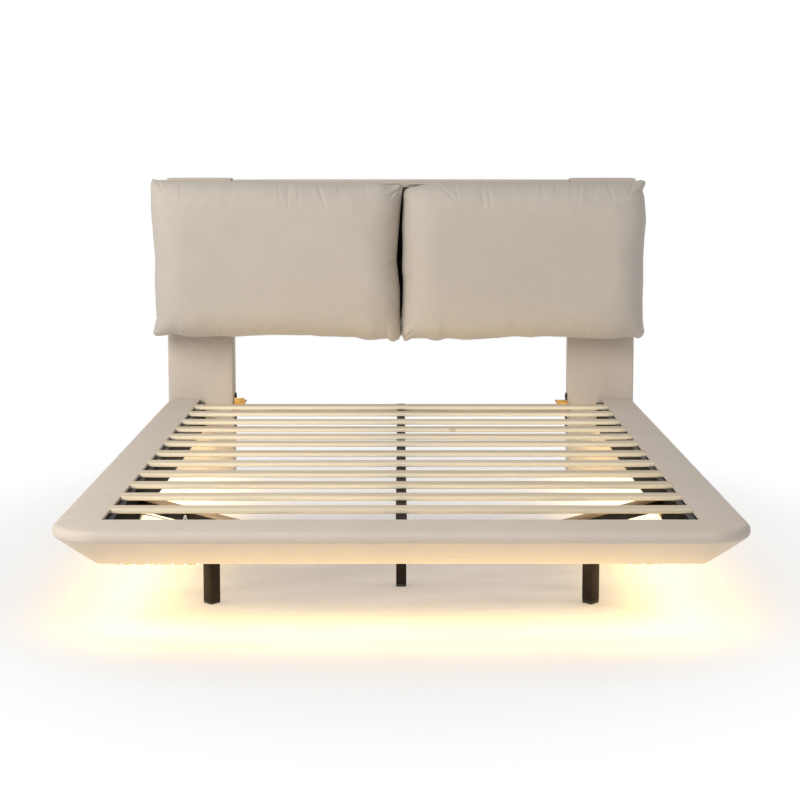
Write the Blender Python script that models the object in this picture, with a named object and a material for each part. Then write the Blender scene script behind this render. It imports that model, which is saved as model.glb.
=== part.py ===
"""Upholstered floating platform bed with lit rails and two loose head cushions.

Metres, +Z up. +X is the right side seen from the foot end, +Y points to the headboard.
The origin lies on the floor, in the middle of the bed's outline.
"""

import math

import bmesh
import bpy
from mathutils import Matrix, Vector

# Overall sizes
DECK_WIDTH = 1.580
DECK_LENGTH = 2.080
DECK_HEIGHT = 0.306
SEAM_GAP = 0.0003
OVERRUN = 0.010
WELD_DISTANCE = SEAM_GAP / 10
SMOOTH_ANGLE = math.radians(35)
ROUND_STEPS = 16

# Padded rails
RAIL_BREADTH = 0.128
NOSE_HEIGHT = 0.033
RAIL_DEPTH = 0.1165
UNDER_FLAT = 0.014
NOSE_TOP_RADIUS = 0.018
NOSE_BOTTOM_RADIUS = 0.012
RAIL_PADDING = 0.010
FOOT_RETURN = 0.024
RAIL_SEAM = 0.0015
ARC_STEPS = 4
CORNER_STEPS = 10

# Inner boards and the tape that the slats lie on
BOARD_THICKNESS = 0.020
BOARD_BOTTOM = 0.190
TAPE_WIDTH = 0.018
TAPE_THICKNESS = 0.0015

# Slats
SLAT_WIDTH = 0.050
SLAT_THICKNESS = 0.014
SLAT_END_CLEARANCE = 0.001
SLAT_ROUNDING = 0.004
SLAT_CORNER_RADIUS = 0.007
SLAT_CENTRE_SHARES = (0.0707, 0.1495, 0.2264, 0.3048, 0.3837, 0.4639,
                      0.5486, 0.6130, 0.6841, 0.7596, 0.8466, 0.9226)

# Steel frame under the slats
BEAM_WIDTH = 0.030
BEAM_HEIGHT = 0.040
STEEL_WALL = 0.002
CENTRE_LEG_SIDE = 0.030
CENTRE_LEG_SHARES = (0.224, 0.730)
BRACE_REACH = 0.499
BRACE_WIDTH = 0.028
BRACE_HEIGHT = 0.040
BRACE_BOTTOM = 0.216
FOOT_SIDE = 0.0345
FOOT_ALONG_BRACE_SHARE = 0.469
PAD_HEIGHT = 0.008
PAD_CHAMFER = 0.0015
HEAD_RAIL_DEPTH = 0.028
HEAD_RAIL_DROP = 0.0065

# Zinc and black connectors
BRACKET_THICKNESS = 0.003
BRACE_BRACKET_WIDTH = 0.040
BRACE_BRACKET_FLANGE = 0.012
BRACE_BRACKET_DROP = 0.022
POST_BRACKET_REACH = 0.0395
POST_BRACKET_DROP = 0.036
POST_BRACKET_MARGIN = 0.003
LEFT_POST_BRACKET_TOP = 0.313
RIGHT_POST_BRACKET_TOP = 0.305
POST_PLATE_WIDTH = 0.044
POST_PLATE_THICKNESS = 0.004
POST_PLATE_BOTTOM = 0.166
POST_PLATE_TOP = 0.3215
STUD_RADIUS = 0.006
STUD_LENGTH = 0.003
STUD_HEIGHT_SHARES = (0.108, 0.418, 0.930)

# Headboard
POST_INNER_HALF = 0.657
POST_WIDTH = 0.258
POST_DEPTH = 0.092
POST_HEIGHT = 1.1725
POST_ROUNDING = 0.010
POST_PADDING = 0.020
CROSSBAR_DROP = 0.006
CROSSBAR_BOTTOM = 0.606
CROSSBAR_DEPTH = 0.052
CROSSBAR_PADDING = 0.016
CROSSBAR_ROUNDING = 0.008
LINING_THICKNESS = 0.0015
LINING_MARGIN = 0.012
LINING_TOP_MARGIN = 0.030
CUSHION_TAPE_WIDTH = 0.040
CUSHION_TAPE_LENGTH = 0.460
CUSHION_TAPE_THICKNESS = 0.003

# Head cushions
LEFT_CUSHION_WIDTH = 0.955
RIGHT_CUSHION_WIDTH = 0.935
CUSHION_HEIGHT = 0.615
CUSHION_THICKNESS = 0.195
CUSHION_BOTTOM = 0.552
CUSHION_MEETING = 0.010
CUSHION_MIDDLE_GAP = 0.003
CUSHION_SIDE_DRAW = 0.012
CUSHION_TOP_DRAW = 0.005
CUSHION_BACK_SHARE = 0.32
CUSHION_SEAM_SHARE = 0.035
CUSHION_BACK_SWELL = 1.25
CUSHION_ACROSS_POWER = 3.0
CUSHION_UP_POWER = 2.6
CUSHION_EDGE_POWER = 0.5
CUSHION_COLUMNS = 28
CUSHION_ROWS = 20

# Strip light
STRIP_WIDTH = 0.010
STRIP_THICKNESS = 0.003
STRIP_END_MARGIN = 0.010

# Light controller under the left brace, and its lead
CONTROLLER_LENGTH = 0.080
CONTROLLER_WIDTH = 0.026
CONTROLLER_HEIGHT = 0.022
CONTROLLER_ALONG = 0.220
CONTROLLER_BEVEL = 0.0015
GLAND_RADIUS = 0.004
GLAND_LENGTH = 0.008
LEAD_DIAMETER = 0.0042
LEAD_SPAN_STEPS = 5

# Places worked out from the sizes above
HALF_DECK = DECK_WIDTH / 2
BED_LENGTH = RAIL_BREADTH + DECK_LENGTH + POST_DEPTH
FOOT_EDGE = RAIL_BREADTH - BED_LENGTH / 2
POST_FRONT = FOOT_EDGE + DECK_LENGTH
POST_BACK = POST_FRONT + POST_DEPTH
RETURN_END = FOOT_EDGE + FOOT_RETURN
BOARD_INNER = HALF_DECK - BOARD_THICKNESS
FOOT_BOARD_INNER = FOOT_EDGE + BOARD_THICKNESS
SLAT_UNDERSIDE = DECK_HEIGHT - SLAT_THICKNESS
TAPE_TOP = SLAT_UNDERSIDE - SEAM_GAP
BOARD_TOP = TAPE_TOP - TAPE_THICKNESS - SEAM_GAP
BEAM_TOP = SLAT_UNDERSIDE - SEAM_GAP
BEAM_BOTTOM = BEAM_TOP - BEAM_HEIGHT
HEAD_RAIL_TOP = SLAT_UNDERSIDE - HEAD_RAIL_DROP
HEAD_RAIL_FRONT = POST_FRONT - HEAD_RAIL_DEPTH
CROSSBAR_TOP = POST_HEIGHT - CROSSBAR_DROP
CROSSBAR_FRONT = POST_FRONT + LINING_THICKNESS + SEAM_GAP
CUSHION_BACK = POST_FRONT - CUSHION_TAPE_THICKNESS - 2 * SEAM_GAP
CUSHION_CENTRE_HEIGHT = CUSHION_BOTTOM + CUSHION_HEIGHT / 2
SIDES = (("left", -1), ("right", 1))
CUSHION_WIDTHS = {"left": LEFT_CUSHION_WIDTH, "right": RIGHT_CUSHION_WIDTH}
POST_BRACKET_TOPS = {"left": LEFT_POST_BRACKET_TOP, "right": RIGHT_POST_BRACKET_TOP}


def clear_scene():
    for item in list(bpy.data.objects):
        bpy.data.objects.remove(item, do_unlink=True)


def material(name, colour, roughness, metallic=0.0):
    made = bpy.data.materials.new(name)
    made.use_nodes = True
    shader = made.node_tree.nodes["Principled BSDF"]
    shader.inputs["Base Color"].default_value = (*colour, 1.0)
    shader.inputs["Roughness"].default_value = roughness
    shader.inputs["Metallic"].default_value = metallic
    made.diffuse_color = (*colour, 1.0)
    return made


def make_materials():
    return {
        "velvet": material("cream_velvet", (0.56, 0.48, 0.39), 0.85),
        "timber": material("frame_timber", (0.50, 0.36, 0.22), 0.75),
        "board": material("black_board", (0.020, 0.018, 0.018), 0.60),
        "pine": material("pale_pine", (0.68, 0.56, 0.40), 0.60),
        "steel": material("black_steel", (0.015, 0.014, 0.014), 0.45, 0.60),
        "foot": material("brown_black_steel", (0.045, 0.026, 0.018), 0.45, 0.50),
        "zinc": material("yellow_zinc", (0.72, 0.42, 0.12), 0.35, 0.95),
        "plastic": material("black_plastic", (0.025, 0.025, 0.025), 0.50),
        "tape": material("grey_tape", (0.075, 0.075, 0.080), 0.90),
        "lining": material("black_lining", (0.012, 0.011, 0.012), 0.95),
        "strip": material("warm_light_strip", (1.00, 0.78, 0.45), 0.40),
        "lead": material("white_lead", (0.80, 0.78, 0.74), 0.45),
    }


def add_object(name, mesh, look):
    mesh.materials.append(look)
    made = bpy.data.objects.new(name, mesh)
    bpy.context.scene.collection.objects.link(made)
    return made


def finish_mesh(name, bm, smooth_angle=None):
    """Weld shared points, turn the faces outward and write the mesh."""
    bmesh.ops.remove_doubles(bm, verts=bm.verts, dist=WELD_DISTANCE)
    bmesh.ops.dissolve_degenerate(bm, edges=bm.edges, dist=WELD_DISTANCE)
    bmesh.ops.recalc_face_normals(bm, faces=bm.faces)
    mesh = bpy.data.meshes.new(name)
    bm.to_mesh(mesh)
    bm.free()
    if smooth_angle is not None:
        mesh.shade_smooth()
        mesh.set_sharp_from_angle(angle=smooth_angle)
    return mesh


def box(name, look, low, high, bevel=0.0, bevel_steps=1, chosen=lambda edge: True):
    """A block between two corners, with an optional bevel on its chosen edges."""
    low = Vector(low)
    high = Vector(high)
    bm = bmesh.new()
    bmesh.ops.create_cube(bm, size=1.0)
    bmesh.ops.scale(bm, vec=high - low, verts=bm.verts)
    bmesh.ops.translate(bm, vec=(low + high) / 2, verts=bm.verts)
    if bevel:
        edges = [edge for edge in bm.edges if chosen(edge)]
        bmesh.ops.bevel(bm, geom=edges, offset=bevel, segments=bevel_steps,
                        profile=0.5, affect="EDGES", clamp_overlap=True)
    return add_object(name, finish_mesh(name, bm), look)


def combine(target, tool, operation):
    """Join or cut one body with another, which stays behind as a hidden guide."""
    tool.hide_render = True
    tool.display_type = "WIRE"
    boolean = target.modifiers.new(tool.name, "BOOLEAN")
    boolean.operation = operation
    boolean.solver = "EXACT"
    boolean.object = tool


def arc(centre, radius, start, end, steps):
    """Points on an arc in the plane, both ends included, angles in degrees."""
    points = []
    for step in range(steps + 1):
        turn = math.radians(start + (end - start) * step / steps)
        points.append((centre[0] + radius * math.cos(turn),
                       centre[1] + radius * math.sin(turn)))
    return points


def prism(name, look, outline, place, depth, smooth_angle=None):
    """An outline of (a, b) points, placed by a function and drawn out along a vector."""
    bm = bmesh.new()
    front = [bm.verts.new(place(a, b)) for a, b in outline]
    face = bm.faces.new(front)
    drawn = bmesh.ops.extrude_face_region(bm, geom=[face])
    moved = [item for item in drawn["geom"] if isinstance(item, bmesh.types.BMVert)]
    bmesh.ops.translate(bm, vec=depth, verts=moved)
    return add_object(name, finish_mesh(name, bm, smooth_angle), look)


SECTION_CORNERS = ((1, 1), (-1, 1), (-1, -1), (1, -1))


def hollow_section(name, look, outer_start, inner_start, outer_end, inner_end):
    """A hollow section open at both ends, from the four corners of each end's outlines."""
    bm = bmesh.new()
    rings = [[bm.verts.new(corner) for corner in ring]
             for ring in (outer_start, inner_start, outer_end, inner_end)]
    outer_start, inner_start, outer_end, inner_end = rings
    for first, second in ((outer_start, outer_end), (inner_end, inner_start),
                          (inner_start, outer_start), (outer_end, inner_end)):
        for index in range(len(first)):
            follow = (index + 1) % len(first)
            bm.faces.new((first[index], first[follow], second[follow], second[index]))
    return add_object(name, finish_mesh(name, bm), look)


def tube(name, look, start, end, side, other):
    """A straight steel section between two end centres, by its half-width vectors."""
    rings = []
    for centre in (start, end):
        for inset in (0.0, STEEL_WALL):
            half_side = Vector(side) * (1 - inset / Vector(side).length)
            half_other = Vector(other) * (1 - inset / Vector(other).length)
            rings.append([Vector(centre) + a * half_side + b * half_other
                          for a, b in SECTION_CORNERS])
    return hollow_section(name, look, *rings)


def wedge_outline(inset):
    """Half-rail section from the inner edge outward, inset evenly for what lies inside.

    The first number is the distance out from the deck's edge, the second the height.
    """
    top = DECK_HEIGHT - inset
    nose = RAIL_BREADTH - inset
    bottom = DECK_HEIGHT - RAIL_DEPTH + inset
    slope_angle = math.atan2(RAIL_DEPTH - NOSE_HEIGHT, RAIL_BREADTH - UNDER_FLAT)
    flat_end = UNDER_FLAT - inset * math.tan(slope_angle / 2)
    nose_bottom = bottom + (nose - flat_end) * math.tan(slope_angle)
    top_radius = max(NOSE_TOP_RADIUS - inset, SEAM_GAP)
    low_radius = max(NOSE_BOTTOM_RADIUS - inset, SEAM_GAP)
    turn = 90 - math.degrees(slope_angle)
    reach = low_radius * math.tan(math.radians(turn / 2))
    low_centre = (nose - low_radius, nose_bottom + reach)
    points = [(0.0, top)]
    points += arc((nose - top_radius, top - top_radius), top_radius, 90, 0, ARC_STEPS)
    points += arc(low_centre, low_radius, 0, -turn, ARC_STEPS)
    points.append((flat_end, bottom))
    points.append((0.0, bottom))
    return points


def cover_outline():
    """The padding's section: the wedge's outline with the core's room cut out of it."""
    return wedge_outline(0.0) + list(reversed(wedge_outline(RAIL_PADDING)))


def core_outline():
    return wedge_outline(RAIL_PADDING + SEAM_GAP)


def side_prism(name, look, outline, sign, start, end):
    """A rail section run along the bed's side between two places."""
    return prism(name, look, outline,
                 lambda out, height: (sign * (HALF_DECK + out), start, height),
                 (0, end - start, 0), SMOOTH_ANGLE)


def foot_sweep(name, look, outline):
    """A rail section run round the foot: two returns, two spun corners, one straight."""
    bm = bmesh.new()
    stations = [(-HALF_DECK, RETURN_END, 180.0)]
    for step in range(CORNER_STEPS + 1):
        stations.append((-HALF_DECK, FOOT_EDGE, 180 + 90 * step / CORNER_STEPS))
    for step in range(CORNER_STEPS + 1):
        stations.append((HALF_DECK, FOOT_EDGE, 270 + 90 * step / CORNER_STEPS))
    stations.append((HALF_DECK, RETURN_END, 360.0))
    rings = []
    for across, along, heading in stations:
        out_x = math.cos(math.radians(heading))
        out_y = math.sin(math.radians(heading))
        rings.append([bm.verts.new((across + out * out_x, along + out * out_y, height))
                      for out, height in outline])
    count = len(outline)
    for first, second in zip(rings, rings[1:]):
        for index in range(count):
            follow = (index + 1) % count
            bm.faces.new((first[index], first[follow], second[follow], second[index]))
    bm.faces.new(rings[0])
    bm.faces.new(list(reversed(rings[-1])))
    return add_object(name, finish_mesh(name, bm, SMOOTH_ANGLE), look)


def make_rails(looks):
    foot_sweep("foot_rail_cover", looks["velvet"], cover_outline())
    foot_sweep("foot_rail_core", looks["timber"], core_outline())
    for side, sign in SIDES:
        side_prism(f"{side}_side_rail_cover", looks["velvet"], cover_outline(), sign,
                   RETURN_END + RAIL_SEAM, POST_FRONT - SEAM_GAP)
        side_prism(f"{side}_side_rail_core", looks["timber"], core_outline(), sign,
                   RETURN_END + SEAM_GAP, POST_FRONT - SEAM_GAP)


def make_boards(looks):
    box("foot_board", looks["board"],
        (SEAM_GAP - BOARD_INNER, FOOT_EDGE + SEAM_GAP, BOARD_BOTTOM),
        (BOARD_INNER - SEAM_GAP, FOOT_BOARD_INNER, BOARD_TOP))
    tape_margin = (BOARD_THICKNESS - TAPE_WIDTH) / 2
    for side, sign in SIDES:
        across = sorted((sign * BOARD_INNER, sign * (HALF_DECK - SEAM_GAP)))
        box(f"{side}_side_board", looks["board"],
            (across[0], FOOT_EDGE + SEAM_GAP, BOARD_BOTTOM),
            (across[1], POST_FRONT - SEAM_GAP, BOARD_TOP))
        box(f"{side}_slat_tape", looks["tape"],
            (across[0] + tape_margin, FOOT_BOARD_INNER, BOARD_TOP + SEAM_GAP),
            (across[1] - tape_margin, POST_FRONT - tape_margin, TAPE_TOP))


def slat_mesh():
    """One slat about its own centre: rounded in plan at its corners and along its edges."""
    half_length = HALF_DECK - SLAT_END_CLEARANCE
    half_width = SLAT_WIDTH / 2
    radius = SLAT_CORNER_RADIUS
    plan = []
    for quarter, (a, b) in enumerate(((1, 1), (-1, 1), (-1, -1), (1, -1))):
        centre = (a * (half_length - radius), b * (half_width - radius))
        plan += arc(centre, radius, 90 * quarter, 90 * quarter + 90, ARC_STEPS)
    bm = bmesh.new()
    face = bm.faces.new([bm.verts.new((x, y, 0.0)) for x, y in plan])
    drawn = bmesh.ops.extrude_face_region(bm, geom=[face])
    moved = [item for item in drawn["geom"] if isinstance(item, bmesh.types.BMVert)]
    bmesh.ops.translate(bm, vec=(0, 0, SLAT_THICKNESS), verts=moved)
    rims = [edge for edge in bm.edges
            if abs(edge.verts[0].co.z - edge.verts[1].co.z) < SEAM_GAP]
    bmesh.ops.bevel(bm, geom=rims, offset=SLAT_ROUNDING, segments=2, profile=0.5,
                    affect="EDGES", clamp_overlap=True)
    return finish_mesh("slat", bm, SMOOTH_ANGLE)


def make_slats(looks):
    mesh = slat_mesh()
    mesh.materials.append(looks["pine"])
    for number, share in enumerate(SLAT_CENTRE_SHARES, start=1):
        slat = bpy.data.objects.new(f"slat_{number:02d}", mesh)
        slat.location = (0, FOOT_EDGE + share * DECK_LENGTH, SLAT_UNDERSIDE)
        bpy.context.scene.collection.objects.link(slat)


def make_beam(looks):
    middle = (BEAM_TOP + BEAM_BOTTOM) / 2
    tube("centre_beam", looks["steel"],
         (0, FOOT_BOARD_INNER + SEAM_GAP, middle), (0, HEAD_RAIL_FRONT - SEAM_GAP, middle),
         (BEAM_WIDTH / 2, 0, 0), (0, 0, BEAM_HEIGHT / 2))
    for name, share in zip(("front", "rear"), CENTRE_LEG_SHARES):
        along = FOOT_EDGE + share * DECK_LENGTH
        tube(f"{name}_centre_leg", looks["steel"],
             (0, along, PAD_HEIGHT + SEAM_GAP), (0, along, BEAM_BOTTOM - SEAM_GAP),
             (CENTRE_LEG_SIDE / 2, 0, 0), (0, CENTRE_LEG_SIDE / 2, 0))
        box(f"{name}_centre_pad", looks["plastic"],
            (-CENTRE_LEG_SIDE / 2, along - CENTRE_LEG_SIDE / 2, 0),
            (CENTRE_LEG_SIDE / 2, along + CENTRE_LEG_SIDE / 2, PAD_HEIGHT), PAD_CHAMFER)


def make_head_rail(looks):
    reach = POST_INNER_HALF - POST_PLATE_THICKNESS - BRACKET_THICKNESS - 3 * SEAM_GAP
    along = HEAD_RAIL_FRONT + HEAD_RAIL_DEPTH / 2
    height = HEAD_RAIL_TOP - BEAM_HEIGHT / 2
    tube("head_cross_rail", looks["steel"], (-reach, along, height), (reach, along, height),
         (0, HEAD_RAIL_DEPTH / 2, 0), (0, 0, BEAM_HEIGHT / 2))


def make_brace(looks, side, sign):
    """A square tube set across the foot corner, its ends cut to lie on both boards."""
    wall_x = BOARD_INNER - SEAM_GAP
    wall_y = FOOT_BOARD_INNER + SEAM_GAP
    height = BRACE_BOTTOM + BRACE_HEIGHT / 2
    side_rings = []
    foot_rings = []
    for inset in (0.0, STEEL_WALL):
        cut = (BRACE_WIDTH / 2 - inset) * math.sqrt(2)
        rise = BRACE_HEIGHT / 2 - inset
        side_rings.append([(sign * wall_x, wall_y + BRACE_REACH + a * cut, height + b * rise)
                           for a, b in SECTION_CORNERS])
        foot_rings.append([(sign * (wall_x - BRACE_REACH - a * cut), wall_y,
                            height + b * rise) for a, b in SECTION_CORNERS])
    hollow_section(f"{side}_corner_brace", looks["steel"], *side_rings, *foot_rings)


def make_brace_brackets(looks, side, sign):
    """Two zinc angles under the brace's ends, one on each board."""
    top = BRACE_BOTTOM - SEAM_GAP
    low = BRACE_BOTTOM - BRACE_BRACKET_DROP
    angle = ((0.0, top), (BRACE_BRACKET_FLANGE, top),
             (BRACE_BRACKET_FLANGE, top - BRACKET_THICKNESS),
             (BRACKET_THICKNESS, top - BRACKET_THICKNESS), (BRACKET_THICKNESS, low),
             (0.0, low))
    wall_x = sign * (BOARD_INNER - SEAM_GAP)
    wall_y = FOOT_BOARD_INNER + SEAM_GAP
    half = BRACE_BRACKET_WIDTH / 2
    prism(f"{side}_brace_side_bracket", looks["zinc"], angle,
          lambda out, height: (wall_x - sign * out, wall_y + BRACE_REACH - half, height),
          (0, BRACE_BRACKET_WIDTH, 0))
    prism(f"{side}_brace_foot_bracket", looks["zinc"], angle,
          lambda out, height: (wall_x - sign * (BRACE_REACH - half), wall_y + out, height),
          (-sign * BRACE_BRACKET_WIDTH, 0, 0))


def make_front_foot(looks, side, sign):
    """A square tube turned with the brace, standing on a plastic pad."""
    down = BRACE_REACH * FOOT_ALONG_BRACE_SHARE
    centre_x = sign * (BOARD_INNER - SEAM_GAP - down)
    centre_y = FOOT_BOARD_INNER + SEAM_GAP + BRACE_REACH - down
    half = FOOT_SIDE / 2 / math.sqrt(2)
    tube(f"{side}_front_foot", looks["foot"],
         (centre_x, centre_y, PAD_HEIGHT + SEAM_GAP),
         (centre_x, centre_y, BRACE_BOTTOM - SEAM_GAP),
         (half, half, 0), (-half, half, 0))
    pad = box(f"{side}_front_pad", looks["plastic"], (-FOOT_SIDE / 2, -FOOT_SIDE / 2, 0),
              (FOOT_SIDE / 2, FOOT_SIDE / 2, PAD_HEIGHT), PAD_CHAMFER)
    pad.data.transform(Matrix.Rotation(math.radians(45), 4, "Z"))
    pad.location = (centre_x, centre_y, 0)


def make_post(looks, side, sign):
    """A timber post on the floor in a padded sleeve that is open underneath."""
    middle = sign * (POST_INNER_HALF + POST_WIDTH / 2)
    along = POST_FRONT + POST_DEPTH / 2
    half = Vector((POST_WIDTH / 2, POST_DEPTH / 2))
    room = half - Vector((POST_PADDING, POST_PADDING))
    room_top = POST_HEIGHT - POST_PADDING
    cover = box(f"{side}_post_cover", looks["velvet"],
                (middle - half.x, along - half.y, 0),
                (middle + half.x, along + half.y, POST_HEIGHT), POST_ROUNDING, 3,
                lambda edge: max(vert.co.z for vert in edge.verts) > POST_ROUNDING)
    cutter = box(f"{side}_post_room", looks["velvet"],
                 (middle - room.x, along - room.y, -OVERRUN),
                 (middle + room.x, along + room.y, room_top))
    combine(cover, cutter, "DIFFERENCE")
    core = room - Vector((SEAM_GAP, SEAM_GAP))
    box(f"{side}_post_core", looks["timber"], (middle - core.x, along - core.y, 0),
        (middle + core.x, along + core.y, room_top - SEAM_GAP))


def make_post_fittings(looks, side, sign):
    """The studded plate on the post's inner face and the zinc bracket on the plate."""
    face = POST_INNER_HALF - SEAM_GAP
    along = POST_FRONT + POST_DEPTH / 2
    plate_inner = face - POST_PLATE_THICKNESS
    name = f"{side}_post_plate"
    across = sorted((sign * plate_inner, sign * face))
    plate = box(name, looks["steel"],
                (across[0], along - POST_PLATE_WIDTH / 2, POST_PLATE_BOTTOM),
                (across[1], along + POST_PLATE_WIDTH / 2, POST_PLATE_TOP))
    add_studs(looks, plate, sign, plate_inner, along)
    flange_face = plate_inner - SEAM_GAP
    top = HEAD_RAIL_TOP + SEAM_GAP + BRACKET_THICKNESS
    low = top - POST_BRACKET_DROP
    angle = ((0.0, top), (POST_BRACKET_REACH, top),
             (POST_BRACKET_REACH, top - BRACKET_THICKNESS),
             (BRACKET_THICKNESS, top - BRACKET_THICKNESS), (BRACKET_THICKNESS, low),
             (0.0, low))
    start = HEAD_RAIL_FRONT + POST_BRACKET_MARGIN
    end = POST_BACK - POST_BRACKET_MARGIN
    bracket = prism(f"{side}_post_bracket", looks["zinc"], angle,
                    lambda out, height: (sign * (flange_face - out), start, height),
                    (0, end - start, 0))
    across = sorted((sign * flange_face, sign * (flange_face - POST_BRACKET_REACH)))
    lip = box(f"{bracket.name}_lip", looks["zinc"],
              (across[0], start, top - BRACKET_THICKNESS),
              (across[1], start + BRACKET_THICKNESS, POST_BRACKET_TOPS[side]))
    combine(bracket, lip, "UNION")


def add_studs(looks, plate, sign, plate_inner, along):
    """Draw three round studs out of the plate's inner face as one body with it."""
    rise = POST_PLATE_TOP - POST_PLATE_BOTTOM
    root = POST_PLATE_THICKNESS / 2
    middle = plate_inner + root - (STUD_LENGTH + root) / 2
    for share in STUD_HEIGHT_SHARES:
        bm = bmesh.new()
        bmesh.ops.create_cone(bm, cap_ends=True, segments=ROUND_STEPS, radius1=STUD_RADIUS,
                              radius2=STUD_RADIUS, depth=STUD_LENGTH + root)
        bmesh.ops.rotate(bm, verts=bm.verts, matrix=Matrix.Rotation(math.radians(90), 3, "Y"))
        bmesh.ops.translate(bm, verts=bm.verts,
                            vec=(sign * middle, along, POST_PLATE_BOTTOM + share * rise))
        stud = add_object(f"{plate.name}_stud", finish_mesh("stud", bm), looks["steel"])
        combine(plate, stud, "UNION")


def make_crossbar(looks):
    """The panel between the posts: timber in padding that is open at both ends."""
    half = POST_INNER_HALF - SEAM_GAP
    low = CROSSBAR_BOTTOM
    top = CROSSBAR_TOP
    front = CROSSBAR_FRONT
    back = front + CROSSBAR_DEPTH
    radius = CROSSBAR_ROUNDING
    skin = CROSSBAR_PADDING
    outer = (arc((back - radius, top - radius), radius, 0, 90, ARC_STEPS)
             + arc((front + radius, top - radius), radius, 90, 180, ARC_STEPS)
             + arc((front + radius, low + radius), radius, 180, 270, ARC_STEPS)
             + arc((back - radius, low + radius), radius, 270, 360, ARC_STEPS))
    inner = [(back - skin, top - skin), (front + skin, top - skin),
             (front + skin, low + skin), (back - skin, low + skin)]
    ring_prism("crossbar_cover", looks["velvet"], outer, inner, half)
    gap = SEAM_GAP
    box("crossbar_core", looks["timber"],
        (-half, front + skin + gap, low + skin + gap),
        (half, back - skin - gap, top - skin - gap))
    box("crossbar_lining", looks["lining"],
        (-half, POST_FRONT, low + LINING_MARGIN),
        (half, POST_FRONT + LINING_THICKNESS, top - LINING_TOP_MARGIN))


def ring_prism(name, look, outer, inner, half):
    """A hollow section along X, made of an outer and an inner outline in (y, z)."""
    bm = bmesh.new()
    quarter = len(outer) // 4
    ends = []
    for across in (-half, half):
        outer_ring = [bm.verts.new((across, y, z)) for y, z in outer]
        inner_ring = [bm.verts.new((across, y, z)) for y, z in inner]
        for corner in range(4):
            run = outer_ring[corner * quarter:(corner + 1) * quarter]
            bm.faces.new(run + [inner_ring[corner]])
            following = outer_ring[((corner + 1) * quarter) % len(outer)]
            bm.faces.new((run[-1], following, inner_ring[(corner + 1) % 4],
                          inner_ring[corner]))
        ends.append((outer_ring, inner_ring))
    for first, second in zip(ends[0], ends[1]):
        for index in range(len(first)):
            follow = (index + 1) % len(first)
            bm.faces.new((first[index], first[follow], second[follow], second[index]))
    return add_object(name, finish_mesh(name, bm, SMOOTH_ANGLE), look)


def cushion_fullness(across, up):
    """How full the cushion is at a place, from 0 at the seam to 1 at the crown."""
    flat = (1 - abs(across) ** CUSHION_ACROSS_POWER) * (1 - abs(up) ** CUSHION_UP_POWER)
    return flat ** CUSHION_EDGE_POWER


def cushion_centre_side(side, sign):
    """Across the bed: the cushions meet a little to the right of its middle."""
    return CUSHION_MEETING + sign * (CUSHION_MIDDLE_GAP + CUSHION_WIDTHS[side]) / 2


def make_cushion(looks, side, sign):
    """A knife-edged pillow: crowned front, flatter back, sides drawn in between corners."""
    half_width = CUSHION_WIDTHS[side] / 2
    seam = CUSHION_THICKNESS * CUSHION_SEAM_SHARE
    back_depth = CUSHION_THICKNESS * CUSHION_BACK_SHARE
    front_depth = CUSHION_THICKNESS - back_depth
    centre = Vector((cushion_centre_side(side, sign), CUSHION_BACK - back_depth,
                     CUSHION_CENTRE_HEIGHT))
    bm = bmesh.new()

    def sheet(depth, facing, swell):
        rows = []
        for row in range(CUSHION_ROWS + 1):
            up = math.sin(math.pi / 2 * (2 * row / CUSHION_ROWS - 1))
            line = []
            for column in range(CUSHION_COLUMNS + 1):
                across = math.sin(math.pi / 2 * (2 * column / CUSHION_COLUMNS - 1))
                x = across * (half_width - CUSHION_SIDE_DRAW * (1 - up ** 2))
                z = up * (CUSHION_HEIGHT / 2 - CUSHION_TOP_DRAW * (1 - across ** 2))
                full = min(1.0, swell * cushion_fullness(across, up))
                y = facing * (seam / 2 + (depth - seam / 2) * full)
                line.append(bm.verts.new(centre + Vector((x, y, z))))
            rows.append(line)
        return rows

    front = sheet(front_depth, -1, 1.0)
    rear = sheet(back_depth, 1, CUSHION_BACK_SWELL)
    for rows in (front, rear):
        for low, high in zip(rows, rows[1:]):
            for index in range(CUSHION_COLUMNS):
                bm.faces.new((low[index], low[index + 1], high[index + 1], high[index]))
    rims = []
    for rows in (front, rear):
        rims.append(rows[0] + [row[-1] for row in rows[1:-1]] + rows[-1][::-1]
                    + [row[0] for row in rows[-2:0:-1]])
    for index in range(len(rims[0])):
        follow = (index + 1) % len(rims[0])
        bm.faces.new((rims[0][index], rims[0][follow], rims[1][follow], rims[1][index]))
    name = f"{side}_cushion"
    return add_object(name, finish_mesh(name, bm, SMOOTH_ANGLE), looks["velvet"])


def make_cushion_tape(looks, side, sign):
    centre = cushion_centre_side(side, sign)
    half = CUSHION_TAPE_LENGTH / 2
    shift = POST_INNER_HALF - SEAM_GAP - half
    middle = sign * min(abs(centre), shift)
    box(f"{side}_cushion_tape", looks["tape"],
        (middle - half, POST_FRONT - SEAM_GAP - CUSHION_TAPE_THICKNESS,
         CUSHION_CENTRE_HEIGHT - CUSHION_TAPE_WIDTH / 2),
        (middle + half, POST_FRONT - SEAM_GAP,
         CUSHION_CENTRE_HEIGHT + CUSHION_TAPE_WIDTH / 2))


def make_light(looks):
    """The light strip stuck under the three inner boards."""
    top = BOARD_BOTTOM - SEAM_GAP
    low = top - STRIP_THICKNESS
    centre = HALF_DECK - BOARD_THICKNESS / 2
    foot_centre = FOOT_EDGE + BOARD_THICKNESS / 2
    half = STRIP_WIDTH / 2
    reach = BOARD_INNER - STRIP_END_MARGIN
    box("foot_light_strip", looks["strip"], (-reach, foot_centre - half, low),
        (reach, foot_centre + half, top))
    for side, sign in SIDES:
        box(f"{side}_light_strip", looks["strip"],
            (sign * centre - half, FOOT_BOARD_INNER, low),
            (sign * centre + half, POST_FRONT - STRIP_END_MARGIN, top))


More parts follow.
